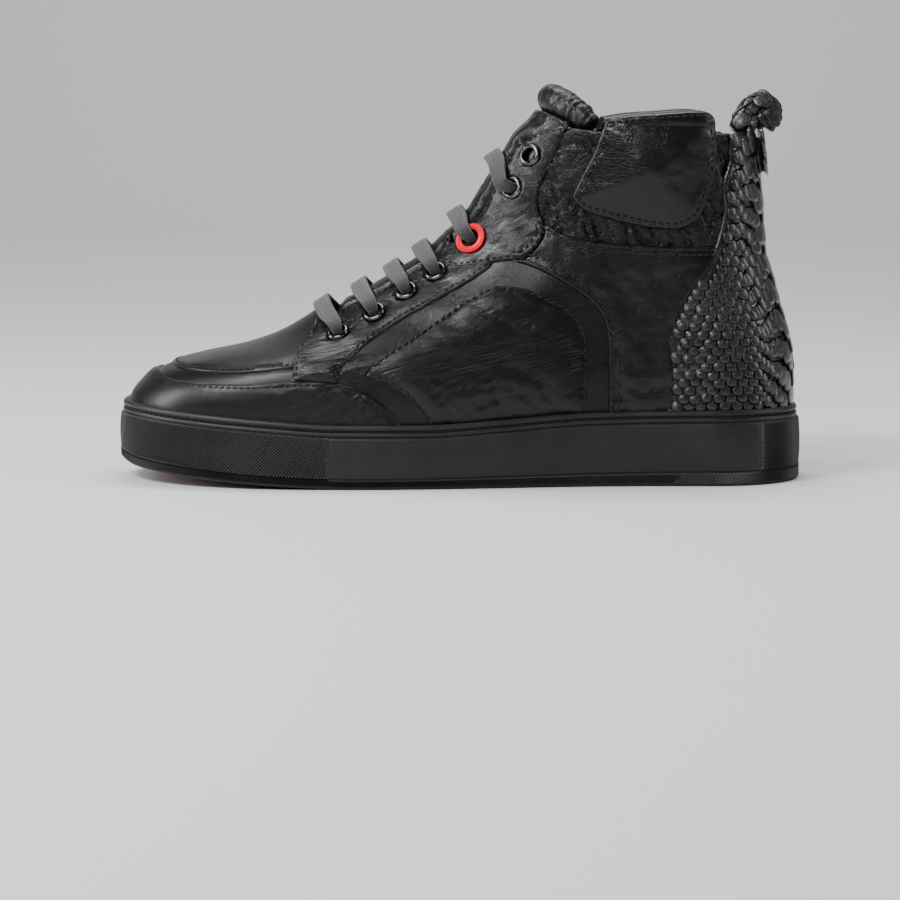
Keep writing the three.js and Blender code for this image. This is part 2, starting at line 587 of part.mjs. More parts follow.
for (const [sideName, half] of Object.entries(sides)) {
  const side = half === outer ? -1 : 1;
  add(`eyestay_${sideName}`, drill(side, eyestay(half), [0, 1, 2, 3]), "leather");
  add(`side_frame_${sideName}`, drill(side, sideFrame(half), [0, 1, 2, 3, 4, 5, 6]), "leather");
  add(`side_inset_${sideName}`, sideInset(half), "leather");
  add(`ankle_facing_${sideName}`, drill(side, ankleFacing(half), [4, 5, 6]), "leather");
  add(`rear_quarter_${sideName}`, rearQuarter(half), "leather");
  add(`collar_panel_${sideName}`, collarPanel(half), "scaled");
  add(`collar_pad_${sideName}`, collarPad(half), "leather");
  add(`collar_foam_${sideName}`, collarFoam(half), "foam");
  add(`quarter_lining_${sideName}`, drill(side, quarterLining(half), [0, 1, 2, 3, 4, 5, 6], 2.3), "liningCloth");
  eyeletSpots.forEach((_, index) => {
    const { at, normal } = eyeletPlace(side, index);
    const finish = index === wideEyelet ? "redEnamel" : "gunmetal";
    const ring = add(`eyelet_${sideName}_${index + 1}`, eyeletGeometry(eyeletSize(index)), finish);
    ring.position.copy(at);
    ring.quaternion.setFromUnitVectors(new THREE.Vector3(0, 0, 1), normal);
  });
}

export default shoe;
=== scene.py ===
import math
import random

import bmesh
import bpy
import numpy as np
from mathutils import Matrix, Vector, noise
from mathutils.geometry import delaunay_2d_cdt


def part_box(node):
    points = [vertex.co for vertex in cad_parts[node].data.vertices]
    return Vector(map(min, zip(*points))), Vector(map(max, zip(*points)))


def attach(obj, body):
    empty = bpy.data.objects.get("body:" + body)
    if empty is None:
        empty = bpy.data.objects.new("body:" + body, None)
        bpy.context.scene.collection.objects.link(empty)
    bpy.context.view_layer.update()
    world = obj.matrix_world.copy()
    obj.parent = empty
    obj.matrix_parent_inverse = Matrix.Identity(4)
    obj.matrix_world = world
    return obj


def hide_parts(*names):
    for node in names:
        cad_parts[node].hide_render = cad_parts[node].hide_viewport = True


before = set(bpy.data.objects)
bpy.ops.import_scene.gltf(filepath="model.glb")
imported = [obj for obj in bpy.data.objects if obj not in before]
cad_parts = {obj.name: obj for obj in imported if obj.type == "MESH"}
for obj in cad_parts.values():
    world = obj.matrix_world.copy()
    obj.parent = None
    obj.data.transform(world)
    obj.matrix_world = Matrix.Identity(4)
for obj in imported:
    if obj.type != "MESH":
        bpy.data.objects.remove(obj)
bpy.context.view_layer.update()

mm = 0.001
random.seed(7)
print("frame loaded:", len(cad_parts), "parts")


# a smooth line through a few knots [place, value] that never overshoots them
def through(knots):
    at, value = np.array(knots, float).T
    slope = np.diff(value) / np.diff(at)
    lean = np.zeros(len(at))
    same = slope[:-1] * slope[1:] > 0
    lean[1:-1][same] = (2 * slope[:-1] * slope[1:])[same] / (slope[:-1] + slope[1:])[same]

    def curve(x):
        x = np.clip(np.asarray(x, float), at[0], at[-1])
        i = np.clip(np.searchsorted(at, x, side="right") - 1, 0, len(at) - 2)
        width = at[i + 1] - at[i]
        t = (x - at[i]) / width
        s = 1 - t
        ends = value[i] * s * s * (1 + 2 * t) + value[i + 1] * t * t * (3 - 2 * t)
        return ends + width * t * s * (lean[i] * s - lean[i + 1] * t)

    return curve


# the last that the upper is stretched over, in level sections, in millimetres
last = {
    "front": through([[34, -146.5], [38, -145], [42, -141.6], [44.8, -139], [47, -136.5], [50.8, -130],
                      [54.6, -116], [59.6, -94], [65, -79.5], [70.5, -69.5], [77, -59.5], [83, -46.5],
                      [90, -33.5], [99, -19.5], [110, -7], [120, 2.5], [131, 9.5], [142, 16.5],
                      [154, 23.5], [165, 30], [186, 41]]),
    "back": through([[34, 147.5], [47, 147.5], [58, 146.6], [68, 144.6], [77, 141.8], [86, 139.4],
                     [93, 137.4], [101, 135], [111, 134], [120, 133.4], [137, 131.7], [155, 130], [186, 128]]),
    "frontHalf": through([[33, 48], [45, 47.5], [60, 45], [75, 41.5], [94, 38.5], [117, 35.5], [150, 34.5],
                          [186, 36]]),
    "heelHalf": through([[33, 34.5], [60, 33.5], [80, 32], [105, 31], [130, 32], [150, 33], [186, 34]]),
    "noseLength": through([[34, 78], [60, 84], [75, 88], [95, 85], [117, 75], [150, 58], [186, 50]]),
    "nosePower": through([[34, 2.35], [50, 2.25], [66, 1.9], [80, 1.8], [117, 1.85], [150, 2], [186, 2]]),
    "heelLength": through([[34, 36], [90, 38], [150, 46], [186, 44]]),
    "heelPower": 2.1,
    "noseShare": 0.42,
    "heelShare": 0.68,
    "toeWiden": 6,
    "toeWidenStart": -65,
}
soleTop = through([[-149, 35.3], [-134, 34], [-110, 32], [-81, 30], [-54, 28.4], [-14, 28.2], [21, 30.2],
                   [56, 32.6], [90, 33.3], [150, 33.6]])
soleBottom = through([[-153, 9], [-144, 7], [-127, 5], [-110, 3.4], [-90, 1.9], [-65, 0.6], [-45, 0]])


def ease(x, low, high):
    t = np.clip((np.asarray(x, float) - low) / (high - low), 0, 1)
    return t * t * (3 - 2 * t)


def mixed(a, b, share):
    return a + (b - a) * share


def fillTop(x):
    return soleBottom(x) + mixed(12, 17, ease(x, -60, 60))


def halfWidth(side, x, z):
    pinch = 3 * np.exp(-(((x - 15) / 38) ** 2)) * (1 - ease(z, 30, 75)) * (np.asarray(side) > 0)
    return mixed(last["frontHalf"](z), last["heelHalf"](z), ease(x, -45, 85)) - pinch


def centreY(x):
    return last["toeWiden"] * np.maximum(0, (last["toeWidenStart"] - np.asarray(x, float)) / 82) ** 1.5


# turn runs from 0 at the toe to 1 at the heel, side is -1 on the outer side and 1 on the inner
def lastPoint(side, turn, z):
    side, turn, z = np.broadcast_arrays(np.asarray(side, float), np.asarray(turn, float), np.asarray(z, float))
    front, back, nose, heel = (last[k](z) for k in ("front", "back", "noseLength", "heelLength"))
    noseAngle = np.clip(turn / last["noseShare"], 0, 1) * math.pi / 2
    heelAngle = np.clip((1 - turn) / (1 - last["heelShare"]), 0, 1) * math.pi / 2
    nosePower, heelPower = 2 / last["nosePower"](z), 2 / last["heelPower"]
    middle = np.clip((turn - last["noseShare"]) / (last["heelShare"] - last["noseShare"]), 0, 1)
    x = mixed(front + nose, back - heel, middle)
    nearToe = front + nose * (1 - np.maximum(np.cos(noseAngle), 0) ** nosePower)
    nearHeel = back - heel * (1 - np.maximum(np.cos(heelAngle), 0) ** heelPower)
    x = np.where(turn < last["noseShare"], nearToe, np.where(turn > last["heelShare"], nearHeel, x))
    share = np.sin(noseAngle) ** nosePower * np.sin(heelAngle) ** heelPower
    return np.stack([x, centreY(x) + side * halfWidth(side, x, z) * share, z], axis=-1)


# the turn at which the section at height z reaches x
def turnOf(x, z):
    front, back, nose, heel = (last[k](z) for k in ("front", "back", "noseLength", "heelLength"))
    noseLeft = np.clip(1 - (x - front) / nose, 0, 1)
    heelLeft = np.clip(1 - (back - x) / heel, 0, 1)
    noseTurn = np.arccos(noseLeft ** (last["nosePower"](z) / 2)) / (math.pi / 2) * last["noseShare"]
    heelTurn = 1 - np.arccos(heelLeft ** (last["heelPower"] / 2)) / (math.pi / 2) * (1 - last["heelShare"])
    middle = mixed(last["noseShare"], last["heelShare"], (x - front - nose) / (back - heel - front - nose))
    return np.where(x < front + nose, noseTurn, np.where(x > back - heel, heelTurn, middle))


# the height over a spot of the plan, on the upper side of the last
def heightOver(x, y):
    side = np.where(y < centreY(x), -1, 1)
    low, high = np.full(len(x), 34.0), np.full(len(x), 178.0)
    for _ in range(26):
        z = (low + high) / 2
        inside = (last["front"](z) < x) & (
            np.abs(lastPoint(side, turnOf(x, z), z)[:, 1] - centreY(x)) > np.abs(y - centreY(x)))
        low, high = np.where(inside, z, low), np.where(inside, high, z)
    return (low + high) / 2


# Skins: how a flat drawing [u, v] lies on the shoe. facing turns the outward direction the right way.
# On the toe skin u is the distance round from the toe, and on the heel skin from the heel.
# It is less than 0 on the outer side.
def arcs(z):
    nose, heel = last["noseLength"](z), last["heelLength"](z)
    middle = np.maximum(last["back"](z) - heel - last["front"](z) - nose, 0.5)
    return 1.2 * nose, middle, 1.55 * heel


def fromToe(turn, z):
    (nose, middle, heel), a, b = arcs(z), last["noseShare"], last["heelShare"]
    first, second, third = (np.clip(share, 0, 1)
                            for share in (turn / a, (turn - a) / (b - a), (turn - b) / (1 - b)))
    return nose * first + middle * second + heel * third


def fromHeel(turn, z):
    return sum(arcs(z)) - fromToe(turn, z)


def turnAfter(run, z):
    (nose, middle, heel), a, b = arcs(z), last["noseShare"], last["heelShare"]
    late = np.where(run < nose + middle, a + (b - a) * (run - nose) / middle,
                    b + (1 - b) * np.minimum((run - nose - middle) / heel, 1))
    return np.where(run < nose, a * run / nose, late)


def sideOf(u):
    return np.where(u < 0, -1, 1)


toeSkin = {"facing": -1, "at": lambda q: lastPoint(
    sideOf(q[:, 0]), turnAfter(np.abs(q[:, 0]), q[:, 1]), q[:, 1])}
heelSkin = {"facing": 1, "at": lambda q: lastPoint(
    sideOf(q[:, 0]), turnAfter(sum(arcs(q[:, 1])) - np.abs(q[:, 0]), q[:, 1]), q[:, 1])}
topSkin = {"facing": 1, "at": lambda q: np.stack([q[:, 0], q[:, 1], heightOver(q[:, 0], q[:, 1])], axis=-1)}
underSkin = {"facing": -1, "at": lambda q: np.stack([q[:, 0], q[:, 1], soleBottom(q[:, 0])], axis=-1)}
insoleSkin = {"facing": 1, "at": lambda q: np.stack([q[:, 0], q[:, 1], fillTop(q[:, 0]) + 2.4], axis=-1)}


def onToe(side, line):
    line = np.asarray(line, float)
    return np.stack([side * fromToe(turnOf(line[:, 0], line[:, 1]), line[:, 1]), line[:, 1]], axis=-1)


def onHeel(side, line):
    line = np.asarray(line, float)
    return np.stack([side * fromHeel(turnOf(line[:, 0], line[:, 1]), line[:, 1]), line[:, 1]], axis=-1)


def onPlan(side, line):
    line = np.asarray(line, float)
    place = lastPoint(side, turnOf(line[:, 0], line[:, 1]), line[:, 1])
    return place[:, :2]


def spread(skin, points):
    step = 0.05
    u, v = np.array([step, 0]), np.array([0, step])
    place = skin["at"](points)
    alongU = (skin["at"](points + u) - skin["at"](points - u)) / (2 * step)
    alongV = (skin["at"](points + v) - skin["at"](points - v)) / (2 * step)
    out = np.cross(alongU, alongV) * skin["facing"]
    out /= np.linalg.norm(out, axis=1, keepdims=True) + 1e-12
    return place, alongU, alongV, out


def raised(skin, points, height):
    place, _, _, out = spread(skin, np.asarray(points, float))
    return place + out * np.reshape(height, (-1, 1))


# moves drawing points by real directions along the shoe
def nudged(skin, points, shift):
    _, a, b, _ = spread(skin, points)
    aa, ab, bb = (a * a).sum(1), (a * b).sum(1), (b * b).sum(1)
    sa, sb = (a * shift).sum(1), (b * shift).sum(1)
    det = aa * bb - ab * ab + 1e-9
    return points + np.stack([(sa * bb - sb * ab) / det, (sb * aa - sa * ab) / det], axis=-1)


# how far along a line each of its points lies
def lengthAlong(line):
    return np.concatenate([[0], np.cumsum(np.linalg.norm(np.diff(line, axis=0), axis=1))])


# a round line through a few knots
def smoothLine(knots, step=1.0):
    knots = np.asarray(knots, float)
    ends = np.vstack([2 * knots[0] - knots[1], knots, 2 * knots[-1] - knots[-2]])
    made = []
    for i in range(1, len(ends) - 2):
        p = ends[i - 1:i + 3]
        t = np.concatenate([[0], np.cumsum(np.sqrt(np.linalg.norm(np.diff(p, axis=0), axis=1) + 1e-6))])
        count = max(2, int(np.linalg.norm(p[2] - p[1]) / step))
        s = np.linspace(t[1], t[2], count, endpoint=False)[:, None]
        a = [p[k] * (t[k + 1] - s) / (t[k + 1] - t[k]) + p[k + 1] * (s - t[k]) / (t[k + 1] - t[k])
             for k in range(3)]
        b = [a[k] * (t[k + 2] - s) / (t[k + 2] - t[k]) + a[k + 1] * (s - t[k]) / (t[k + 2] - t[k])
             for k in range(2)]
        made.append(b[0] * (t[2] - s) / (t[2] - t[1]) + b[1] * (s - t[1]) / (t[2] - t[1]))
    return np.vstack(made + [knots[-1:]])


def evenly(line, step):
    line = np.asarray(line, float)
    length = lengthAlong(line)
    count = max(2, int(round(length[-1] / step)) + 1)
    where = np.linspace(0, length[-1], count)
    return np.stack([np.interp(where, length, line[:, k]) for k in range(line.shape[1])], axis=-1)


# joins lines end to end into one closed border, anticlockwise
def border(*lines, step=1.1):
    joined = np.vstack([evenly(line, step) for line in lines])
    keep = np.linalg.norm(joined - np.roll(joined, 1, axis=0), axis=1) > step * 0.3
    joined = joined[keep]
    x, y = joined.T
    area = (x * np.roll(y, -1) - np.roll(x, -1) * y).sum()
    return joined if area > 0 else joined[::-1]


def insideOf(points, loop):
    x, y = points.T
    odd = np.zeros(len(points), bool)
    for (x1, y1), (x2, y2) in zip(loop, np.roll(loop, -1, axis=0)):
        if y1 != y2:
            odd ^= ((y1 > y) != (y2 > y)) & (x < (x2 - x1) * (y - y1) / (y2 - y1) + x1)
    return odd


# distance of each point from a line in space
def fromLine(points, line):
    start, way = line[:-1], np.diff(line, axis=0)
    square = (way * way).sum(1) + 1e-12
    found = np.empty(len(points))
    for i in range(0, len(points), 400):
        gap = points[i:i + 400, None, :] - start[None]
        share = np.clip((gap * way).sum(2) / square, 0, 1)
        found[i:i + 400] = np.sqrt((((gap - share[..., None] * way) ** 2).sum(2)).min(1))
    return found


# a line moved sideways over the shoe, to the left of its run in the drawing
def beside(skin, line, distance, closed=False):
    place, _, _, out = spread(skin, line)
    if closed:
        along = np.roll(place, -1, axis=0) - np.roll(place, 1, axis=0)
    else:
        along = np.gradient(place, axis=0)
    along /= np.linalg.norm(along, axis=1, keepdims=True) + 1e-9
    return nudged(skin, line, np.cross(out, along) * skin["facing"] * distance)


def closedPath(points):
    return np.vstack([points, points[:1]])


# finished objects
def makeObject(name, mesh, material, body="shoe", replaces=()):
    piece = bpy.data.objects.new(name, mesh)
    bpy.context.scene.collection.objects.link(piece)
    piece.data.materials.clear()
    piece.data.materials.append(material)
    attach(piece, body)
    if replaces:
        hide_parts(*replaces)
    return piece


def meshFrom(bm, name):
    for face in bm.faces:
        face.smooth = True
    mesh = bpy.data.meshes.new(name)
    bm.to_mesh(mesh)
    bm.free()
    return mesh


# the matrix that puts a small shape at a place, with a direction and a half size for each of its axes
def placedBy(place, axes):
    matrix = Matrix.Identity(4)
    for column, (axis, size) in enumerate(axes):
        matrix.col[column] = [*(Vector(axis) * (size * mm)), 0]
    matrix.col[3] = [*(Vector(place) * mm), 1]
    return matrix


# many copies of one small shape, each with its own matrix, as one mesh
def scattered(name, template, matrices):
    corners = np.array([v.co for v in template.vertices])
    faces = [list(p.vertices) for p in template.polygons]
    corners = np.hstack([corners, np.ones((len(corners), 1))])
    placed = np.vstack([(corners @ np.array(m).T)[:, :3] for m in matrices])
    mesh = bpy.data.meshes.new(name)
    mesh.from_pydata(placed.tolist(), [], [[i + k * len(corners) for i in f] for k in range(len(matrices))
                                           for f in faces])
    mesh.polygons.foreach_set("use_smooth", [True] * len(mesh.polygons))
    return mesh


def stitchShape():
    bm = bmesh.new()
    bmesh.ops.create_uvsphere(bm, u_segments=8, v_segments=6, radius=1)
    for v in bm.verts:  # a fat middle and ends that dive into the leather
        v.co.x -= 0.9 * abs(v.co.z) ** 3
    return meshFrom(bm, "stitchShape")


stitch = {"pitch": 2.9, "length": 2.35, "radius": 0.42, "slant": 0.14}
stitchMesh = stitchShape()


# a row of thread stitches along a line drawn on a skin
def stitchMatrices(skin, line, height, pitch=None):
    pitch = pitch or stitch["pitch"]
    place, _, _, out = spread(skin, line)
    place = place + out * height
    length = lengthAlong(place)
    count = max(1, int(length[-1] / pitch))
    matrices = []
    for k in range(count):
        at = (k + 0.5) * length[-1] / count
        middle, ahead, normal = (np.array([np.interp(q, length, rows[:, j]) for j in range(3)]) for q, rows in (
            (at, place), (at + 0.3, place), (at, out)))
        along = Vector(ahead - middle)
        if along.length < 1e-6:
            continue
        along.normalize()
        normal = Vector(normal)
        across = normal.cross(along).normalized()
        along = (along + across * stitch["slant"] * random.uniform(0.7, 1.3)).normalized()
        across = normal.cross(along).normalized()
        r = stitch["radius"]
        matrices.append(placedBy(middle, ((along.cross(across), r * 0.8), (-across, r),
                                          (along, stitch["length"] / 2))))
    return matrices


def stitching(name, rows, material):
    matrices = [m for row in rows for m in row]
    return makeObject(name, scattered(name, stitchMesh, matrices), material, "shoe")


# A leather panel: a drawing on a skin, with rolled edges, dips along its seams and a relief of its own.
# height, foot and rim are how far its top, underside and edge stand off the last, in millimetres, and
# insets are how far rings of extra corners lie inside the edge.
def panel(name, skin, loop, material, replaces=(), height=1.3, foot=-0.3, roll=1.0, grid=1.8, seams=(),
          dip=0.4, crown=0.0, reach=8.0, relief=None, rim=None, body="shoe", insets=(0.3, 0.8, 1.5, 2.3, 3.3),
          holes=()):
    edge3 = closedPath(raised(skin, loop, 0))
    points, rims = [loop], [loop, *holes]
    centres = [skin["at"](hole).mean(0) for hole in holes]
    reachOf = [np.linalg.norm(skin["at"](hole) - c, axis=1).max() for hole, c in zip(holes, centres)]
    loose = []
    for distance in insets:
        ring = beside(skin, loop, distance, closed=True)
        ring = ring[insideOf(ring, loop)]
        ring = ring[fromLine(skin["at"](ring), edge3) > distance * 0.92]
        loose.append(ring[::2] if distance > 2 else ring)
    low, high = loop.min(0), loop.max(0)
    stepU, stepV = (grid, grid) if np.isscalar(grid) else grid
    field = [[u, v] for k, v in enumerate(np.arange(low[1] + stepV / 2, high[1], stepV * 0.87))
             for u in np.arange(low[0] + (k % 2) * stepU / 2, high[0], stepU)]
    field = np.array(field).reshape(-1, 2)
    field = field[insideOf(field, loop)]
    if len(field):
        loose.append(field[fromLine(skin["at"](field), edge3) > insets[-1] + 0.8])
    loose = np.vstack(loose)
    for centre, radius in zip(centres, reachOf):
        loose = loose[np.linalg.norm(skin["at"](loose) - centre, axis=1) > radius + 0.6]
    points = np.vstack([*rims, loose])
    edges, at = [], 0
    for ring in rims:
        edges += [(at + k, at + (k + 1) % len(ring)) for k in range(len(ring))]
        at += len(ring)
    flat, _, faces = delaunay_2d_cdt([Vector(p) for p in points], edges, [], 1, 1e-4, False)[:3]
    flat, faces = np.array([list(p) for p in flat]), np.array([list(f) for f in faces])
    faces = faces[insideOf(flat[faces].mean(1), loop)]
    for hole in holes:
        faces = faces[~insideOf(flat[faces].mean(1), hole)]
    place, _, _, out = spread(skin, flat)
    away = fromLine(place, edge3)
    for hole in holes:
        away = np.minimum(away, fromLine(place, closedPath(raised(skin, hole, 0))))
    atRim = away < 1e-3
    rounding = np.sqrt(1 - (1 - np.minimum(away / roll, 1)) ** 2)
    footHeight = foot(flat) if callable(foot) else np.full(len(flat), float(foot))
    full = height(flat) if callable(height) else height
    rimHeight = rim(flat) if rim else footHeight
    top = rimHeight + (full - rimHeight) * rounding + crown * (1 - np.exp(-((away / reach) ** 2)))
    for seam in seams:
        gap = fromLine(place, raised(skin, seam, 0))
        top -= dip * np.exp(-((gap / 0.75) ** 2)) * rounding
    if relief:
        top += relief(place, away) * rounding
    bottom = rimHeight + (footHeight - rimHeight) * rounding
    upper, lower = (place + out * top[:, None]) * mm, (place + out * bottom[:, None]) * mm
    bm = bmesh.new()
    verts = [bm.verts.new(c) for c in upper]
    for f in faces:
        bm.faces.new([verts[i] for i in (reversed(f) if skin["facing"] < 0 else f)])
    bm.verts.index_update()
    copied = bmesh.ops.duplicate(bm, geom=bm.verts[:] + bm.edges[:] + bm.faces[:])
    pairs = copied["vert_map"]
    for v in verts:
        pairs[v].co = lower[v.index]
    bmesh.ops.reverse_faces(bm, faces=[g for g in copied["geom"] if isinstance(g, bmesh.types.BMFace)])
    joints = [v for v in verts if atRim[v.index]]
    bmesh.ops.remove_doubles(bm, verts=joints + [pairs[v] for v in joints], dist=2e-6)
    bmesh.ops.delete(bm, geom=[v for v in bm.verts if not v.link_faces], context="VERTS")
    return makeObject(name, meshFrom(bm, name), material, body, replaces)


# a grid of corners placed by a function of (across, along) shares, welded where it closes on itself
def wrapped(name, across, along, place, uv=None):
    bm = bmesh.new()
    layer = bm.loops.layers.uv.new("uv") if uv else None
    bmesh.ops.create_grid(bm, x_segments=across, y_segments=along, size=0.5)
    share = np.array([[v.co.x + 0.5, v.co.y + 0.5] for v in bm.verts])
    spots = place(share[:, 0], share[:, 1]) * mm
    if layer:
        bm.verts.index_update()
        for face in bm.faces:
            for loop in face.loops:
                s = share[loop.vert.index]
                loop[layer].uv = (s[0] * uv[0], s[1] * uv[1])
    for v, spot in zip(bm.verts, spots):
        v.co = spot
    bmesh.ops.remove_doubles(bm, verts=bm.verts[:], dist=2e-6)
    bmesh.ops.dissolve_degenerate(bm, edges=bm.edges[:], dist=1e-7)
    bmesh.ops.recalc_face_normals(bm, faces=bm.faces[:])
    return meshFrom(bm, name)


def fractal(place, size, seed=0.0, stretch=(1, 1, 1)):
    scaled = place / size * np.array(stretch) + seed
    return np.array([noise.fractal(Vector(p), 0.8, 2.1, 4) for p in scaled])


# soft folds: narrow valleys between broad swells
def folds(place, size, seed=0.0, stretch=(1, 1, 1)):
    return -(1 - np.minimum(np.abs(fractal(place, size, seed, stretch)) * 3.2, 1)) ** 2


# Shader groups: effects that several finishes share.
def newGroup(name, inputs, outputs):
    group = bpy.data.node_groups.new(name, "ShaderNodeTree")
    for label, kind, value in inputs:
        socket = group.interface.new_socket(name=label, in_out="INPUT", socket_type=kind)
        if value is not None:
            socket.default_value = value
    for label, kind in outputs:
        group.interface.new_socket(name=label, in_out="OUTPUT", socket_type=kind)
    return group, group.nodes.new("NodeGroupInput"), group.nodes.new("NodeGroupOutput")


def node(tree, kind, inputs=None, **settings):
    made = tree.nodes.new("ShaderNode" + kind)
    for key, value in settings.items():
        setattr(made, key, value)
    for key, value in (inputs or {}).items():
        if isinstance(value, bpy.types.NodeSocket):
            tree.links.new(value, made.inputs[key])
        else:
            made.inputs[key].default_value = value
    return made


def sums(tree, operation, a, b, clamp=False):
    return node(tree, "Math", {0: a, 1: b}, operation=operation, use_clamp=clamp).outputs[0]


# leather grain: pebbles parted by fine creases, with pores and slow swells; Height is about 0 to 1
def grainGroup():
    group, start, end = newGroup(
        "leatherGrain",
        [("Vector", "NodeSocketVector", None), ("Cells", "NodeSocketFloat", 1000.0),
         ("Crease", "NodeSocketFloat", 6.0)],
        [("Height", "NodeSocketFloat"), ("Swell", "NodeSocketFloat")])
    bent = node(group, "TexNoise", {"Vector": start.outputs["Vector"], "Scale": 260.0, "Detail": 3.0})
    offset = node(group, "VectorMath", {0: bent.outputs["Color"], 1: (0.5, 0.5, 0.5)}, operation="SUBTRACT")
    small = node(group, "VectorMath", {0: offset.outputs[0], "Scale": 0.0016}, operation="SCALE")
    moved = node(group, "VectorMath", {0: start.outputs["Vector"], 1: small.outputs[0]}, operation="ADD")
    cells = node(group, "TexVoronoi", {"Vector": moved.outputs[0], "Scale": start.outputs["Cells"]},
                 feature="DISTANCE_TO_EDGE")
    edges = sums(group, "MULTIPLY", cells.outputs["Distance"], start.outputs["Crease"], clamp=True)
    soft = sums(group, "POWER", edges, 0.6)
    pores = node(group, "TexNoise", {"Vector": start.outputs["Vector"], "Scale": 3200.0, "Detail": 4.0,
                                     "Roughness": 0.6})
    swell = node(group, "TexNoise", {"Vector": start.outputs["Vector"], "Scale": 90.0, "Detail": 5.0,
                                     "Roughness": 0.55})
    total = sums(group, "ADD", sums(group, "MULTIPLY", soft, 0.5),
                 sums(group, "MULTIPLY", pores.outputs["Fac"], 0.3))
    total = sums(group, "ADD", total, sums(group, "MULTIPLY", swell.outputs["Fac"], 0.35))
    group.links.new(total, end.inputs["Height"])
    group.links.new(swell.outputs["Fac"], end.inputs["Swell"])
    return group


# handling marks: slow patches and thin scratches, as a mask from 0 to 1
def wearGroup():
    group, start, end = newGroup(
        "handlingMarks", [("Vector", "NodeSocketVector", None), ("Amount", "NodeSocketFloat", 0.5)],
        [("Mask", "NodeSocketFloat")])
    patches = node(group, "TexNoise", {"Vector": start.outputs["Vector"], "Scale": 45.0, "Detail": 6.0,
                                       "Roughness": 0.62})
    long = node(group, "Mapping", {"Vector": start.outputs["Vector"], "Scale": (30.0, 30.0, 700.0),
                                   "Rotation": (0.3, 0.5, 0.2)})
    lines = node(group, "TexNoise", {"Vector": long.outputs[0], "Scale": 1.0, "Detail": 3.0})
    thin = node(group, "MapRange", {"Value": lines.outputs["Fac"], "From Min": 0.58, "From Max": 0.72})
    broad = node(group, "MapRange", {"Value": patches.outputs["Fac"], "From Min": 0.4, "From Max": 0.7})
    both = sums(group, "ADD", sums(group, "MULTIPLY", thin.outputs[0], 0.35), broad.outputs[0], clamp=True)
    group.links.new(sums(group, "MULTIPLY", both, start.outputs["Amount"]), end.inputs["Mask"])
    return group


# plain weave from crossed ribs; Height is 0 between the yarns and 1 on top of them
def weaveGroup():
    group, start, end = newGroup(
        "plainWeave", [("Vector", "NodeSocketVector", None), ("Yarns", "NodeSocketFloat", 900.0)],
        [("Height", "NodeSocketFloat")])
    scaled = node(group, "VectorMath", {0: start.outputs["Vector"], "Scale": start.outputs["Yarns"]},
                  operation="SCALE")
    parts = node(group, "SeparateXYZ", {0: scaled.outputs[0]})
    sines = [node(group, "Math", {0: parts.outputs[k]}, operation="SINE").outputs[0] for k in range(3)]
    waves = [sums(group, "ABSOLUTE", sine, 0) for sine in sines]
    pair = sums(group, "MAXIMUM", waves[0], waves[1])
    fuzz = node(group, "TexNoise", {"Vector": start.outputs["Vector"], "Scale": 4000.0, "Detail": 2.0})
    woven = sums(group, "MULTIPLY", pair, sums(group, "ADD", waves[2], 0.4))
    group.links.new(sums(group, "ADD", woven, sums(group, "MULTIPLY", fuzz.outputs["Fac"], 0.4)),
                    end.inputs["Height"])
    return group


groups = {"grain": grainGroup(), "wear": wearGroup(), "weave": weaveGroup()}


def useGroup(tree, key, inputs):
    made = tree.nodes.new("ShaderNodeGroup")
    made.node_tree = groups[key]
    for label, value in inputs.items():
        if isinstance(value, bpy.types.NodeSocket):
            tree.links.new(value, made.inputs[label])
        else:
            made.inputs[label].default_value = value
    return made


def startMaterial(name, **fixed):
    material = bpy.data.materials.new(name)
    material.use_nodes = True
    tree = material.node_tree
    shader = tree.nodes["Principled BSDF"]
    for label, value in fixed.items():
        shader.inputs[label.replace("_", " ")].default_value = value
    coordinates = tree.nodes.new("ShaderNodeTexCoord")
    return material, tree, shader, coordinates.outputs["Object"]


def tint(tree, mask, dark, light):
    blend = node(tree, "Mix", {"Factor": mask}, data_type="RGBA")
    blend.inputs[6].default_value, blend.inputs[7].default_value = (*dark, 1), (*light, 1)
    return blend.outputs[2]


def between(tree, value, low, high, fromLow=0.0, fromHigh=1.0):
    return node(tree, "MapRange", {"Value": value, "From Min": fromLow, "From Max": fromHigh, "To Min": low,
                                   "To Max": high}).outputs[0]


def bumped(tree, shader, height, distance):
    bump = node(tree, "Bump", {"Height": height, "Distance": distance, "Strength": 1.0})
    tree.links.new(bump.outputs[0], shader.inputs["Normal"])


# black leather: cells is pebbles per metre, depth the height of the grain in metres
def leather(name, dark=(0.004, 0.004, 0.0044), light=(0.01, 0.01, 0.0106), rough=(0.22, 0.36), cells=1100.0,
            depth=0.00007, wear=0.4, coat=0.06, shine=1.36):
    material, tree, shader, place = startMaterial(name, IOR=shine, Coat_Weight=coat, Coat_Roughness=0.2)
    grain = useGroup(tree, "grain", {"Vector": place, "Cells": cells})
    marks = useGroup(tree, "wear", {"Vector": place, "Amount": wear})
    shade = sums(tree, "ADD", sums(tree, "MULTIPLY", marks.outputs["Mask"], 0.7),
                 sums(tree, "MULTIPLY", grain.outputs["Swell"], 0.3))
    tree.links.new(tint(tree, shade, dark, light), shader.inputs["Base Color"])
    dull = sums(tree, "ADD", sums(tree, "MULTIPLY", marks.outputs["Mask"], 0.6),
                sums(tree, "MULTIPLY", grain.outputs["Height"], -0.25))
    tree.links.new(between(tree, dull, rough[0], rough[1], -0.2, 0.45), shader.inputs["Roughness"])
    bumped(tree, shader, grain.outputs["Height"], depth)
    return material


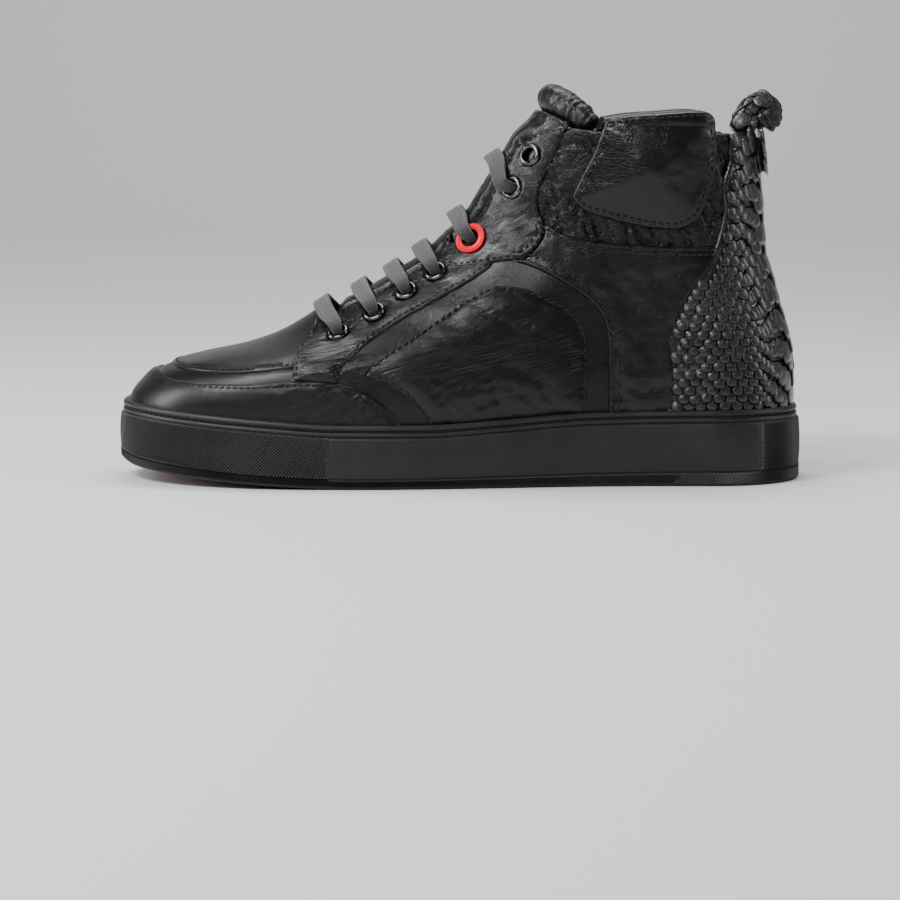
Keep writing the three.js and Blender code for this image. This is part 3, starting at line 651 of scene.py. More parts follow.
# overlapping scales: fine ribs run down each one
def scaledLeather(name):
    material, tree, shader, place = startMaterial(name, IOR=1.45, Coat_Weight=0.3, Coat_Roughness=0.16)
    marks = useGroup(tree, "wear", {"Vector": place, "Amount": 0.8})
    grain = useGroup(tree, "grain", {"Vector": place, "Cells": 2300.0})
    upright = node(tree, "Mapping", {"Vector": place, "Scale": (1500.0, 1500.0, 160.0)})
    ribs = node(tree, "TexNoise", {"Vector": upright.outputs[0], "Scale": 1.0, "Detail": 3.0, "Roughness": 0.6})
    tree.links.new(tint(tree, marks.outputs["Mask"], (0.004, 0.004, 0.0045), (0.018, 0.018, 0.019)),
                   shader.inputs["Base Color"])
    tree.links.new(between(tree, ribs.outputs["Fac"], 0.18, 0.36), shader.inputs["Roughness"])
    height = sums(tree, "ADD", sums(tree, "MULTIPLY", ribs.outputs["Fac"], 0.6),
                  sums(tree, "MULTIPLY", grain.outputs["Height"], 0.4))
    bumped(tree, shader, height, 0.00016)
    return material


def rubber(name, dark, light, rough=(0.5, 0.66), depth=0.00005):
    material, tree, shader, place = startMaterial(name, IOR=1.42)
    marks = useGroup(tree, "wear", {"Vector": place, "Amount": 0.6})
    fine = node(tree, "TexNoise", {"Vector": place, "Scale": 5200.0, "Detail": 3.0, "Roughness": 0.6})
    tree.links.new(tint(tree, marks.outputs["Mask"], dark, light), shader.inputs["Base Color"])
    tree.links.new(between(tree, marks.outputs["Mask"], rough[0], rough[1]), shader.inputs["Roughness"])
    bumped(tree, shader, fine.outputs["Fac"], depth)
    return material


# woven cloth: the colour follows the weave's height, darker between the yarns and lighter on top of them, so
# the dark tone is painted shade in the gaps and the light tone a painted highlight on the yarns, with some
# random fuzz in both
def cloth(name, dark, light, yarns=1900.0, depth=0.0002, sheen=0.3):
    material, tree, shader, place = startMaterial(name, IOR=1.3, Sheen_Weight=sheen, Sheen_Roughness=0.4)
    weave = useGroup(tree, "weave", {"Vector": place, "Yarns": yarns})
    marks = useGroup(tree, "wear", {"Vector": place, "Amount": 0.6})
    tree.links.new(tint(tree, weave.outputs["Height"], dark, light), shader.inputs["Base Color"])
    tree.links.new(between(tree, marks.outputs["Mask"], 0.82, 0.95), shader.inputs["Roughness"])
    bumped(tree, shader, weave.outputs["Height"], depth)
    return material


# flat woven lace: the UV map runs across it and along it in millimetres
def laceCloth(name):
    material, tree, shader, place = startMaterial(name, Sheen_Weight=0.35, Sheen_Roughness=0.45)
    chart = node(tree, "UVMap", uv_map="uv")
    parts = node(tree, "SeparateXYZ", {0: chart.outputs[0]})
    across = sums(tree, "MULTIPLY", parts.outputs[0], 3.4)
    along = sums(tree, "MULTIPLY", parts.outputs[1], 5.2)
    lean = sums(tree, "ADD", along, sums(tree, "MULTIPLY", across, 0.8))
    pick = sums(tree, "ABSOLUTE", node(tree, "Math", {0: lean}, operation="SINE").outputs[0], 0)
    fuzz = node(tree, "TexNoise", {"Vector": place, "Scale": 2600.0, "Detail": 4.0})
    height = sums(tree, "ADD", pick, sums(tree, "MULTIPLY", fuzz.outputs["Fac"], 0.5))
    # the colour follows the rib height: painted shade in the grooves and a painted highlight on the ribs, with
    # random fuzz on top
    tree.links.new(tint(tree, height, (0.006, 0.006, 0.0065), (0.028, 0.028, 0.029)),
                   shader.inputs["Base Color"])
    tree.links.new(between(tree, fuzz.outputs["Fac"], 0.75, 0.95), shader.inputs["Roughness"])
    bumped(tree, shader, height, 0.00022)
    return material


def metal(name, dark, light, rough=(0.12, 0.3)):
    material, tree, shader, place = startMaterial(name, Metallic=1.0)
    marks = useGroup(tree, "wear", {"Vector": place, "Amount": 0.9})
    tree.links.new(tint(tree, marks.outputs["Mask"], dark, light), shader.inputs["Base Color"])
    tree.links.new(between(tree, marks.outputs["Mask"], rough[0], rough[1]), shader.inputs["Roughness"])
    fine = node(tree, "TexNoise", {"Vector": place, "Scale": 2500.0, "Detail": 2.0})
    bumped(tree, shader, fine.outputs["Fac"], 0.000015)
    return material


finish = {
    "vampLeather": leather("smoothVampLeather", rough=(0.3, 0.42), cells=1500.0, depth=0.00004, wear=0.35,
                           coat=0.04, shine=1.33),
    "sideLeather": leather("grainedSideLeather", cells=1000.0),
    "facingLeather": leather("facingLeather", rough=(0.25, 0.38), cells=1250.0),
    "padLeather": leather("padLeather", rough=(0.2, 0.32), cells=820.0, depth=0.00008),
    "creasedLeather": leather("creasedCollarLeather", (0.004, 0.004, 0.0044), (0.011, 0.011, 0.0115),
                              (0.2, 0.42), 620.0, 0.00022, 0.6, 0.02, 1.28),
    "tongueLeather": leather("tongueLeather", rough=(0.25, 0.4), cells=1000.0, depth=0.0001),
    "scales": scaledLeather("heelScales"),
    "rubber": rubber("blackRubber", (0.006, 0.006, 0.0066), (0.013, 0.013, 0.014), rough=(0.42, 0.58)),
    "redRubber": rubber("redTreadRubber", (0.2, 0.006, 0.011), (0.32, 0.014, 0.02), rough=(0.35, 0.5)),
    "lining": cloth("liningCloth", (0.006, 0.006, 0.0065), (0.022, 0.022, 0.023)),
    "footbedCloth": cloth("footbedCloth", (0.008, 0.008, 0.009), (0.03, 0.03, 0.032), yarns=1500.0),
    "foam": rubber("collarFoam", (0.05, 0.05, 0.055), (0.08, 0.08, 0.085), rough=(0.85, 0.95), depth=0.0003),
    "board": cloth("fibreBoard", (0.09, 0.07, 0.05), (0.17, 0.14, 0.1), yarns=900.0, sheen=0.1),
    "lace": laceCloth("laceWeave"),
    "thread": cloth("blackThread", (0.004, 0.004, 0.0045), (0.014, 0.014, 0.015), yarns=3800.0, depth=0.0001,
                    sheen=0.08),
    "gunmetal": metal("polishedGunmetal", (0.09, 0.09, 0.1), (0.2, 0.2, 0.21)),
    "redMetal": metal("redAnodised", (0.3, 0.003, 0.01), (0.42, 0.008, 0.02), rough=(0.34, 0.48)),
}
print("finishes made")


# Side-view seams [x, z] of the upper
seam = {name: smoothLine(knots) for name, knots in {
    "mudguardTop": [[-134.4, 48], [-131.5, 46.9], [-122, 45.3], [-106, 45], [-90, 45.5], [-74, 47], [-57, 47],
                    [-48, 45], [-39, 41], [-32, 36], [-27, 31], [-24.5, 25]],
    "plugSeam": [[-129, 51.1], [-126, 50.7], [-118, 49.8], [-103, 49.2], [-90, 50], [-75, 52], [-71, 52.8]],
    "eyestayFront": [[-73.5, 46], [-73, 50], [-72.3, 55], [-70, 61], [-66, 66.5], [-60.5, 73.2]],
    "eyestayLower": [[-53.4, 45.5], [-51, 53], [-46, 58], [-34, 67], [-21, 75], [-7, 82.5], [6, 90],
                     [14, 95.5]],
    "lobe": [[-3.2, 110], [-4.8, 107.6], [-6.6, 105], [-8, 101], [-7, 97], [-3.5, 94.8], [3, 95], [13, 97],
             [23, 98.6]],
    "arch": [[23, 98.6], [30, 96.5], [40, 92.3], [51, 86], [58, 80.5], [63, 74], [65, 65], [65.5, 48],
             [65.5, 28]],
    "facingSeam": [[23, 98.6], [29, 99.5], [34, 104], [37.5, 110], [37.5, 115]],
    "facingBack": [[37.5, 115], [35.2, 122], [36, 130], [38, 136], [41, 142], [44, 149], [48.5, 158.5]],
    "facingTop": [[48.5, 158.5], [40, 156.4], [34, 154], [28.5, 149.5]],
    "collarLower": [[37.5, 115], [40.5, 113.5], [46, 110.3], [56, 107.6], [74, 106], [92, 105.2], [112, 105]],
    "heelEdge": [[92, 28], [92, 46], [91, 60], [91.3, 68], [94, 76], [98, 84], [104, 91.5], [109, 98.5],
                 [112, 104.8]],
    "heelColumn": [[112, 104.8], [114.5, 113], [116, 121], [115.3, 132], [118, 141], [118.5, 153.5]],
    "insetArch": [[-44, 50], [-35, 57], [-22, 65], [-9, 74], [4, 82.5], [13, 87], [20, 88], [27, 87], [39, 83],
                  [47, 78.5], [53, 73], [56, 66], [56.5, 48], [56.5, 28]],
    "insetFront": [[-12, 26], [-17, 33], [-22, 39], [-28, 44], [-35, 47.5], [-44, 50]],
    "pad": [[64, 161], [74, 162.6], [86, 163.4], [108, 164], [111.2, 161.4], [112.4, 151], [112, 139],
            [108.5, 126], [104.4, 117.2], [97, 113], [87, 112.9], [76, 114.6], [64, 117.6], [54, 121.2],
            [50, 126.2], [53, 134], [57, 142], [60, 148], [61.8, 155], [64, 161]],
}.items()}
sides = {"Outer": -1, "Inner": 1}
cadSide = {"Outer": "lateral", "Inner": "medial"}
throatHalf = [17, 12]
eyeletSpots = np.array([[-53, 66], [-37, 75], [-23, 84], [-10, 92.5], [6, 107], [24, 130], [32, 144.3]], float)
charts = {"toe": (toeSkin, onToe, 1), "heel": (heelSkin, onHeel, -1)}


# a side-view seam laid on one side of the shoe, moved to the left of its run by a distance
def laid(kind, side, line, aside=0.0):
    skin, lay, way = charts[kind]
    drawn = lay(side, seam[line] if isinstance(line, str) else evenly(line, 0.8))
    return beside(skin, drawn, aside * side * way) if aside else drawn


def rowAlong(kind, side, line, aside, height, pitch=None):
    drawn = laid(kind, side, line, aside)
    return stitchMatrices(charts[kind][0], drawn, height, pitch)


# the line just behind the cup's lip, from one turn to another
def footLine(kind, side, start, end, below=3.6):
    turn = np.linspace(start, end, 90)
    x = lastPoint(side, turn, 30)[:, 0]
    z = soleTop(x) - below
    return np.stack([side * (fromToe if kind == "toe" else fromHeel)(turn, z), z], axis=-1)


def turnAtFoot(x):
    return float(turnOf(np.array([x], float), np.array([30.0]))[0])


# the edge of the lace gap, in the toe drawing
def throatEdge(side, fromX, toX, spare=0.0):
    x = np.linspace(fromX, toX, 60)
    y = side * (mixed(throatHalf[0], throatHalf[1], (x + 62) / 132) + spare)
    z = heightOver(x, y)
    return np.stack([side * fromToe(turnOf(x, z), z), z], axis=-1)


# an eyelet's hole in the toe drawing
def hole(skin, lay, side, spot, radius, count=22):
    centre = np.repeat(lay(side, [spot]), count, axis=0)
    _, a, b, out = spread(skin, centre)
    a /= np.linalg.norm(a, axis=1, keepdims=True)
    b = np.cross(out, a)
    angle = np.linspace(0, 2 * math.pi, count, endpoint=False)[:, None]
    return nudged(skin, centre, radius * (a * np.cos(angle) + b * np.sin(angle)))


def bore(index):
    return 4.4 if index == 4 else 3.7


# Reliefs, in millimetres above the plain panel
def soft(amount, size=26, seed=0.0):
    return lambda place, away: amount * fractal(place, size, seed)


def wingRelief(place, away):
    across = np.stack([place[:, 0] * 0.75 - place[:, 2] * 0.9, place[:, 1] * 0.4,
                       place[:, 0] * 0.12 + place[:, 2] * 0.16], axis=-1)
    zone = ease(place[:, 0], -92, -70) * (1 - ease(place[:, 0], -40, -30))
    creases = 0.55 * folds(across, 5.5, 2.0) + 0.25 * folds(across, 2.6, 6.0)
    return 0.2 * fractal(place, 40, 3.0) + zone * creases


def sideRelief(place, away):
    slanted = np.stack([place[:, 0] * 0.5 + place[:, 2] * 0.9, place[:, 1],
                        place[:, 2] * 0.3 - place[:, 0] * 0.25], axis=-1)
    return 0.7 * fractal(place, 28, 1.0) + 0.42 * folds(slanted, 11, 4.0) + 0.14 * folds(slanted, 3.6, 9.0)


def quarterRelief(place, away):
    bottom = 1 - ease(place[:, 2], 36, 58)
    draped = 0.5 * folds(place, 15, 7.0, (0.7, 1, 1.5)) * (0.5 + bottom)
    return 0.5 + 0.8 * fractal(place, 26, 5.0) + draped + 0.1 * folds(place, 5, 2.4)


def facingRelief(place, away):
    slanted = np.stack([place[:, 0] + place[:, 2] * 0.3, place[:, 1], place[:, 2] * 0.5], axis=-1)
    return 0.55 * fractal(place, 17, 2.5) + 0.4 * folds(slanted, 10, 3.5) + 0.1 * folds(place, 4, 5.5)


def crumple(place, away):
    upright = np.stack([place[:, 0] + place[:, 2] * 0.35, place[:, 1], place[:, 2] * 0.42], axis=-1)
    return 2.2 * folds(upright, 11, 1.5) + 0.8 * folds(place, 7, 8.5) + 0.6 * fractal(place, 12, 4.5) + 0.5


def padRelief(place, away):
    topFold = np.exp(-(((place[:, 2] - 157.5 + 0.03 * (place[:, 0] - 86)) / 1.6) ** 2))
    puckers = folds(np.stack([place[:, 0] + place[:, 2], place[:, 1], place[:, 2] * 0.1], axis=-1), 3.4, 2.2)
    return (0.5 * fractal(place, 22, 6.5) + 0.25 * folds(place, 12, 3.1) - 0.9 * topFold
            + 0.5 * puckers * np.exp(-((away / 3.5) ** 2)))


print("drawings ready")

# Upper
for name, side in sides.items():
    cad = cadSide[name]
    holes = [hole(toeSkin, onToe, side, spot, bore(i)) for i, spot in enumerate(eyeletSpots)]

    frameTop = laid("toe", side, "eyestayLower", 3.2)
    frameLoop = border(
        frameTop, laid("toe", side, [[18, 103], [40, 98.5], [57, 90], [69, 79], [71.5, 64], [71.5, 30]]),
        footLine("toe", side, turnAtFoot(71.5), turnAtFoot(-57)), laid("toe", side, [[-57, 27], [-57.5, 45.5]]))
    panel(f"sideFrame{name}", toeSkin, frameLoop, finish["sideLeather"], [f"side_frame_{cad}"],
          height=0.2, foot=-1.2, grid=2.6, relief=soft(0.25, 24, 1.0), insets=(0.8, 2.4))

    insetLoop = border(laid("toe", side, "insetArch"), footLine("toe", side, turnAtFoot(56.5), turnAtFoot(-12)),
                       laid("toe", side, "insetFront"))
    insetRows = [laid("toe", side, "insetArch", -1.3), laid("toe", side, "insetFront", -1.3)]
    panel(f"sideInset{name}", toeSkin, insetLoop, finish["sideLeather"], [f"side_inset_{cad}"],
          height=0.75, roll=0.7, grid=1.5, seams=insetRows, dip=0.7, crown=1.1, reach=5, relief=sideRelief)

    stayLoop = border(
        laid("toe", side, "eyestayFront"), throatEdge(side, -60.5, -2.6),
        laid("toe", side, [[0, 109], [10, 103], [16, 99]]), laid("toe", side, "eyestayLower")[::-1])
    stayRows = [laid("toe", side, "eyestayLower", 2), laid("toe", side, "eyestayFront", -2),
                beside(toeSkin, throatEdge(side, -58, -4), -1.6 * side)]
    panel(f"eyestay{name}", toeSkin, stayLoop, finish["facingLeather"], [f"eyestay_{cad}"],
          height=1.7, foot=-0.2, seams=stayRows, grid=1.5, relief=facingRelief, holes=holes[:4], roll=1.2)

    quarterLoop = border(
        laid("heel", side, "facingSeam"), laid("heel", side, "collarLower"),
        laid("heel", side, [[113.5, 105], [113.5, 100]]), laid("heel", side, "heelEdge", -2.5)[::-1],
        footLine("heel", side, turnAtFoot(94), turnAtFoot(65.5)), laid("heel", side, "arch")[::-1])
    archRows = [laid("heel", side, "arch", 2), laid("heel", side, "arch", 4.4)]
    collarRows = [laid("heel", side, "collarLower", -1.7), laid("heel", side, "collarLower", -3.9)]
    panel(f"rearQuarter{name}", heelSkin, quarterLoop, finish["sideLeather"],
          [f"rear_quarter_{cad}"], height=2.0, foot=0.0, roll=1.1, grid=1.9, seams=[*archRows, *collarRows],
          dip=0.6, relief=quarterRelief)

    collarLoop = border(
        laid("heel", side, [[32, 113], [32, 124], [33, 133], [37, 143], [43, 154], [49, 157], [56, 156],
                            [66, 154.4], [119.5, 154.4]]),
        laid("heel", side, [[119.5, 154.4], [119.5, 102]]),
        laid("heel", side, [[119.5, 102], [74, 102], [46, 106.5], [32, 113]]))
    panel(f"collarPanel{name}", heelSkin, collarLoop, finish["creasedLeather"],
          [f"collar_panel_{cad}"], height=0.7, foot=lambda q: -0.9 - 3.5 * ease(q[:, 1], 148, 153),
          rim=lambda q: -0.5 - 1.4 * ease(q[:, 1], 148, 153), roll=1.6, grid=1.15, relief=crumple)

    padLoop = border(laid("heel", side, "pad"))
    padRow = beside(heelSkin, padLoop, 2.2, closed=True)
    pad = panel(f"collarPad{name}", heelSkin, padLoop, finish["padLeather"], [f"collar_pad_{cad}"],
                height=3.2, foot=lambda q: 0.2 - 7.0 * ease(q[:, 1], 151, 156),
                rim=lambda q: 0.8 - 2.2 * ease(q[:, 1], 151, 156),
                roll=2.6, grid=1.4, crown=4.2, reach=17, seams=[closedPath(padRow)], dip=0.7, relief=padRelief)

    facingLoop = border(
        laid("toe", side, "lobe"), laid("toe", side, "facingSeam"), laid("toe", side, "facingBack"),
        laid("toe", side, "facingTop"), throatEdge(side, -2.8, 27.6)[::-1])
    facingRows = [laid("toe", side, "lobe", 1.9), laid("toe", side, "facingSeam", 1.6),
                  laid("toe", side, "facingSeam", 3.6), laid("toe", side, "facingBack", 1.8),
                  laid("toe", side, "facingTop", 1.8), beside(toeSkin, throatEdge(side, 0, 27), -1.7 * side)]
    panel(f"ankleFacing{name}", toeSkin, facingLoop, finish["facingLeather"],
          [f"ankle_facing_{cad}"], height=2.1, foot=-0.2, roll=1.5, grid=1.5, seams=facingRows,
          relief=facingRelief, holes=holes[4:])

    stitching(f"upperThread{name}", [
        rowAlong("toe", side, "insetArch", -1.3, 0.7, 3.3), rowAlong("toe", side, "insetFront", -1.3, 0.7, 3.3),
        rowAlong("toe", side, "eyestayLower", 2, 1.5), rowAlong("toe", side, "eyestayFront", -2, 1.5),
        stitchMatrices(toeSkin, stayRows[2], 1.5), rowAlong("heel", side, "arch", 2, 2.0),
        rowAlong("heel", side, "arch", 4.4, 2.3), rowAlong("heel", side, "collarLower", -1.7, 2.0),
        rowAlong("heel", side, "collarLower", -3.9, 2.3), rowAlong("toe", side, "lobe", 1.9, 1.9),
        rowAlong("toe", side, "facingSeam", 1.6, 1.9), rowAlong("toe", side, "facingSeam", 3.6, 1.9),
        rowAlong("toe", side, "facingBack", 1.8, 1.9), rowAlong("toe", side, "facingTop", 1.8, 1.9),
        stitchMatrices(toeSkin, facingRows[5], 1.9), stitchMatrices(heelSkin, closedPath(padRow), 3.6, 3.2),
    ], finish["thread"])
    print("upper", name)

# Vamp: a base band, the stitched plug over the toes and the mudguard round them
def toeLine(side, name, aside=0.0):
    drawn = laid("toe", side, name, aside)
    drawn[0, 0] = 0  # both halves meet on the centre line
    return drawn


def planOf(drawn):
    return toeSkin["at"](drawn)[:, :2]


wingEnd = turnAtFoot(-21)
mudguardLoop = border(toeLine(-1, "mudguardTop")[::-1], toeLine(1, "mudguardTop"),
                      footLine("toe", 1, wingEnd, 0), footLine("toe", -1, 0, wingEnd))
mudguardRows = [toeLine(side, "mudguardTop", -2) for side in (-1, 1)]
panel("mudguardPiece", toeSkin, mudguardLoop, finish["vampLeather"], ["mudguard"], height=2.2,
      foot=-0.2, roll=1.6, grid=1.5, seams=mudguardRows, relief=wingRelief)

vampTop = [toeLine(side, "plugSeam", 3.2) for side in (-1, 1)]
vampBack = [laid("toe", side, [[-70, 55.5], [-61, 54], [-61, 27]]) for side in (-1, 1)]
footTurn = turnAtFoot(-61)
vampLoop = border(vampTop[0][::-1], vampTop[1], vampBack[1], footLine("toe", 1, footTurn, 0),
                  footLine("toe", -1, 0, footTurn), vampBack[0][::-1])
panel("vampPiece", toeSkin, vampLoop, finish["vampLeather"], ["vamp"], height=0.2, foot=-1.2,
      grid=2.4, insets=(0.8, 2.4))

plugFront = [planOf(toeLine(side, "plugSeam")) for side in (-1, 1)]
plugBack = [onPlan(side, smoothLine([[-71, 52.8], [-69.5, 56], [-66.5, 61], [-63.5, 67], [-61.8, 72]]))
            for side in (-1, 1)]
plugLoop = border(plugFront[0][::-1], plugFront[1], plugBack[1], np.array([plugBack[1][-1], plugBack[0][-1]]),
                  plugBack[0][::-1])
plugRows = [planOf(toeLine(side, "plugSeam", 1.9)) for side in (-1, 1)]
panel("vampPlug", topSkin, plugLoop, finish["vampLeather"], ["vamp_plug"], height=1.2, roll=1.2,
      grid=1.8, seams=plugRows, relief=soft(0.3, 34, 8.0))
stitching("vampThread", [stitchMatrices(toeSkin, line, 2.0) for line in mudguardRows]
          + [stitchMatrices(topSkin, line, 1.0) for line in plugRows], finish["thread"])
print("vamp")

# Heel: a base panel covered with overlapping scales
heelFront = [np.vstack([laid("heel", side, "heelEdge"), laid("heel", side, "heelColumn")[1:]])
             for side in (-1, 1)]
heelFoot = turnAtFoot(92)
heelLoop = border(heelFront[0], heelFront[1][::-1], footLine("heel", 1, heelFoot, 1),
                  footLine("heel", -1, 1, heelFoot))
panel("heelPanel", heelSkin, heelLoop, finish["scales"], ["heel_panel", "backstay"],
      height=1.7, foot=lambda q: -0.1 - 4.2 * ease(q[:, 1], 148, 153),
      rim=lambda q: 0.3 - 2.0 * ease(q[:, 1], 148, 153), roll=1.4, grid=2.0, relief=soft(0.3, 14, 2.0))
heelRows = [laid("heel", side, line, aside) for side in (-1, 1) for line in ("heelEdge", "heelColumn")
            for aside in (-1.3, -3.0)]
stitching("heelThread", [stitchMatrices(heelSkin, line, 1.75) for line in heelRows], finish["thread"])


# one scale: a thin lens with a round free edge below, in a box of half width 1, half height 1
def scaleShape():
    bm = bmesh.new()
    bmesh.ops.create_uvsphere(bm, u_segments=14, v_segments=4, radius=1)
    for v in bm.verts:
        squared = 1 + 0.16 * abs(v.co.x * v.co.y) * 2
        v.co.x *= squared
        v.co.y *= squared * (0.95 if v.co.y > 0 else 1.0)
        v.co.z *= 1.0 if v.co.z > 0 else 0.35
    return meshFrom(bm, "scaleShape")


scales = {"back": 10.4, "front": 5.0, "smallFrom": 8, "smallTo": 36, "pitch": 1.4, "thickness": 0.62,
          "lift": (0.1, 0.26)}
scaleMesh = scaleShape()


def placedScale(place, up, out, width, length, thickness, tilt, twist=0.0):
    up, out = Vector(up).normalized(), Vector(out).normalized()
    across = up.cross(out).normalized()
    up = out.cross(across)
    along = (up * math.cos(twist) + across * math.sin(twist)) * math.cos(tilt) - out * math.sin(tilt)
    across = along.cross(out).normalized()
    normal = across.cross(along).normalized()
    return placedBy(place, ((across, width / 2), (along, length / 2), (normal, thickness)))


def scaleField(skin, loop, height, margin):
    inner = beside(skin, loop, margin, closed=True)
    made, u, k = [], 0.0, 0
    while u < 80:
        size = float(mixed(scales["back"], scales["front"], ease(u, scales["smallFrom"], scales["smallTo"])))
        pitch = size * scales["pitch"]
        z = np.arange(25 + (k % 2) * pitch / 2, 152, pitch)
        for way in ((1, -1) if u else (1,)):
            spots = np.stack([way * u + 0 * z, z + np.array([random.uniform(-0.06, 0.06) * pitch for _ in z])],
                             axis=-1)
            spots = spots[insideOf(spots, inner)]
            if not len(spots):
                continue
            place, _, up, out = spread(skin, spots)
            for p, b, n in zip(place, up, out):
                grow = random.uniform(0.93, 1.07)
                tilt = random.uniform(*scales["lift"]) * (scales["front"] / size) ** 1.2
                seat = p + n * (height + 0.12 * size * tilt * 4)
                thick = scales["thickness"] * (1.0 + 0.02 * size)
                made.append(placedScale(seat, b, n, size * 1.08 * grow, size * 1.24 * grow, thick, tilt,
                                        random.uniform(-0.08, 0.08)))
        u += size * 0.5
        k += 1
    return made


heelScales = scaleField(heelSkin, heelLoop, 1.75, 3.6)
makeObject("heelScales", scattered("heelScales", scaleMesh, heelScales), finish["scales"], "shoe")
print("heel scales:", len(heelScales))

# Pull loop: a folded strap with ragged scales, and its stitched foot
pull = {
    "line": [[122.6, 154.6], [124, 158], [126.4, 163], [130, 167.4], [134.6, 169.4], [138, 167.8], [139.6, 163],
             [139.6, 157.4], [138.4, 154.8]],
    "width": 21, "thickness": 2.6, "across": 28, "along": 90,
}


def ribbonFrames(line3, up):
    along = np.gradient(line3, axis=0)
    along /= np.linalg.norm(along, axis=1, keepdims=True)
    up = up - along * (up * along).sum(1, keepdims=True)
    up /= np.linalg.norm(up, axis=1, keepdims=True)
    return along, up, np.cross(up, along)


def ribbonPlace(line3, up, wide, thick, power=3.0, edge=None):
    _, up, across = ribbonFrames(line3, up)
    count = len(line3) - 1

    def place(s, t):
        at = t * count
        k = np.clip(at.astype(int), 0, count - 1)
        share = (at - k)[:, None]
        spot, lift, side = (mixed(rows[k], rows[k + 1], share) for rows in (line3, up, across))
        w = np.interp(at, np.arange(count + 1), wide) / 2
        h = np.interp(at, np.arange(count + 1), thick) / 2
        pastEnd = np.maximum(np.abs(t - 0.5) * 2 - (1 - 1.5 / count), 0)
        close = np.sqrt(np.maximum(1 - pastEnd ** 2 * (count / 1.5) ** 2, 0))
        angle = s * 2 * math.pi
        c, d = np.cos(angle), np.sin(angle)
        x = np.sign(c) * np.abs(c) ** (2 / power) * w
        y = np.sign(d) * np.abs(d) ** (2 / power) * h
        if edge:
            y = y + edge(x / w, np.sign(d)) * np.abs(d) ** 0.5
        return spot + side * (x * close)[:, None] + lift * (y * close)[:, None]

    return place


pullLine = evenly(smoothLine(pull["line"], 0.5), 0.6)
pullLine3 = np.stack([pullLine[:, 0], 0 * pullLine[:, 0], pullLine[:, 1]], axis=-1)
pullAlong = np.gradient(pullLine3, axis=0)
pullUp = np.stack([-pullAlong[:, 2], 0 * pullAlong[:, 0], pullAlong[:, 0]], axis=-1)
count = len(pullLine3)
taper = 1 - 0.22 * np.sin(np.linspace(0, math.pi, count)) ** 2
pullMesh = wrapped("pullLoop", pull["across"], pull["along"], ribbonPlace(
    pullLine3, pullUp, pull["width"] * taper, np.full(count, pull["thickness"]), 4.0))
makeObject("pullLoop", pullMesh, finish["scales"], "loop_body", ["pull_loop"])
flakes = []
_, lift, aside = ribbonFrames(pullLine3, pullUp)
for k in range(2, count - 2, 4):
    for share in (-1.02, -1, -0.62, -0.2, 0.2, 0.62, 1, 1.02):
        edge = abs(share) >= 1
        if abs(share) > 1 and pullLine3[k, 2] > 164:  # the bend needs no second row
            continue
        if pullLine3[k, 2] < (158.2 if edge else 160):  # the strap's feet stay bare, so that it can lean
            continue
        out = aside[k] * share + 0.3 * lift[k] if edge else lift[k]
        down = pullLine3[k] - np.array([131.5, 0, 176])
        sideways = aside[k] * share * pull["width"] / 2 * taper[k] * (0.99 if edge else 1)
        spot = pullLine3[k] + sideways + lift[k] * (-0.6 if edge else 1.2)
        spot = spot + np.array([random.uniform(-reach, reach) for reach in (0.8, 0.4, 0.8)])
        if abs(share) > 1:  # a second row hangs into the loop from its edges
            spot = spot - lift[k] * 3.8 - aside[k] * share * 0.6
        size = random.uniform(5.4, 7.6)
        flakes.append(placedScale(spot, -down, out, size, size * random.uniform(1.0, 1.35), 0.55,
                                  random.uniform(0.08, 0.3), random.uniform(-0.35, 0.35)))
makeObject("pullFlakes", scattered("pullFlakes", scaleMesh, flakes), finish["scales"], "loop_body")

anchorLoop = border(np.array([[-11, 136], [11, 136], [11, 152.2], [-11, 152.2]]))
anchorRow = beside(heelSkin, anchorLoop, 1.8, closed=True)
panel("pullAnchor", heelSkin, anchorLoop, finish["scales"], ["pull_loop_anchor"], height=5.0,
      foot=1.2, roll=1.6, grid=1.2, seams=[closedPath(anchorRow)], relief=soft(0.4, 6, 1.0))
anchorScales = []
for k, z in enumerate(np.arange(139, 152, 4.1)):
    for u in np.arange(-9 + (k % 2) * 3.4, 9.5, 6.8):
        place, _, up, out = spread(heelSkin, np.array([[u, z]]))
        wide, long = random.uniform(7, 9), random.uniform(7, 9)
        anchorScales.append(placedScale(place[0] + out[0] * 5.7, up[0], out[0], wide, long, 0.5,
                                        random.uniform(0.06, 0.18), random.uniform(-0.3, 0.3)))
makeObject("anchorScales", scattered("anchorScales", scaleMesh, anchorScales), finish["scales"], "shoe")
stitching("anchorThread", [stitchMatrices(heelSkin, closedPath(anchorRow), 4.9)], finish["thread"])
print("pull loop")


# Tongue and its padded roll
def tongueTurn(z, y):
    share = np.clip(y / last["frontHalf"](z), 0, 0.999)
    return last["noseShare"] * np.arcsin(share ** (last["nosePower"](z) / 2)) / (math.pi / 2)


def tongueHeight(q):
    place = toeSkin["at"](q)
    y = np.abs(place[:, 1])
    rise = ease(place[:, 0], -65, -50)
    shoulder = -7.9 + 4.4 * ease(place[:, 2], 146, 157)
    return mixed(shoulder, -0.3 - 3.2 * ease(place[:, 2], 152, 166), (1 - ease(y, 8.5, 15.5)) * rise)


def tongueRelief(place, away):
    level = np.stack([place[:, 0] * 0.6, place[:, 1] * 0.3, place[:, 2] * 1.2], axis=-1)
    return 0.5 * fractal(place, 20, 3.3) + 0.6 * folds(level, 10, 5.1)


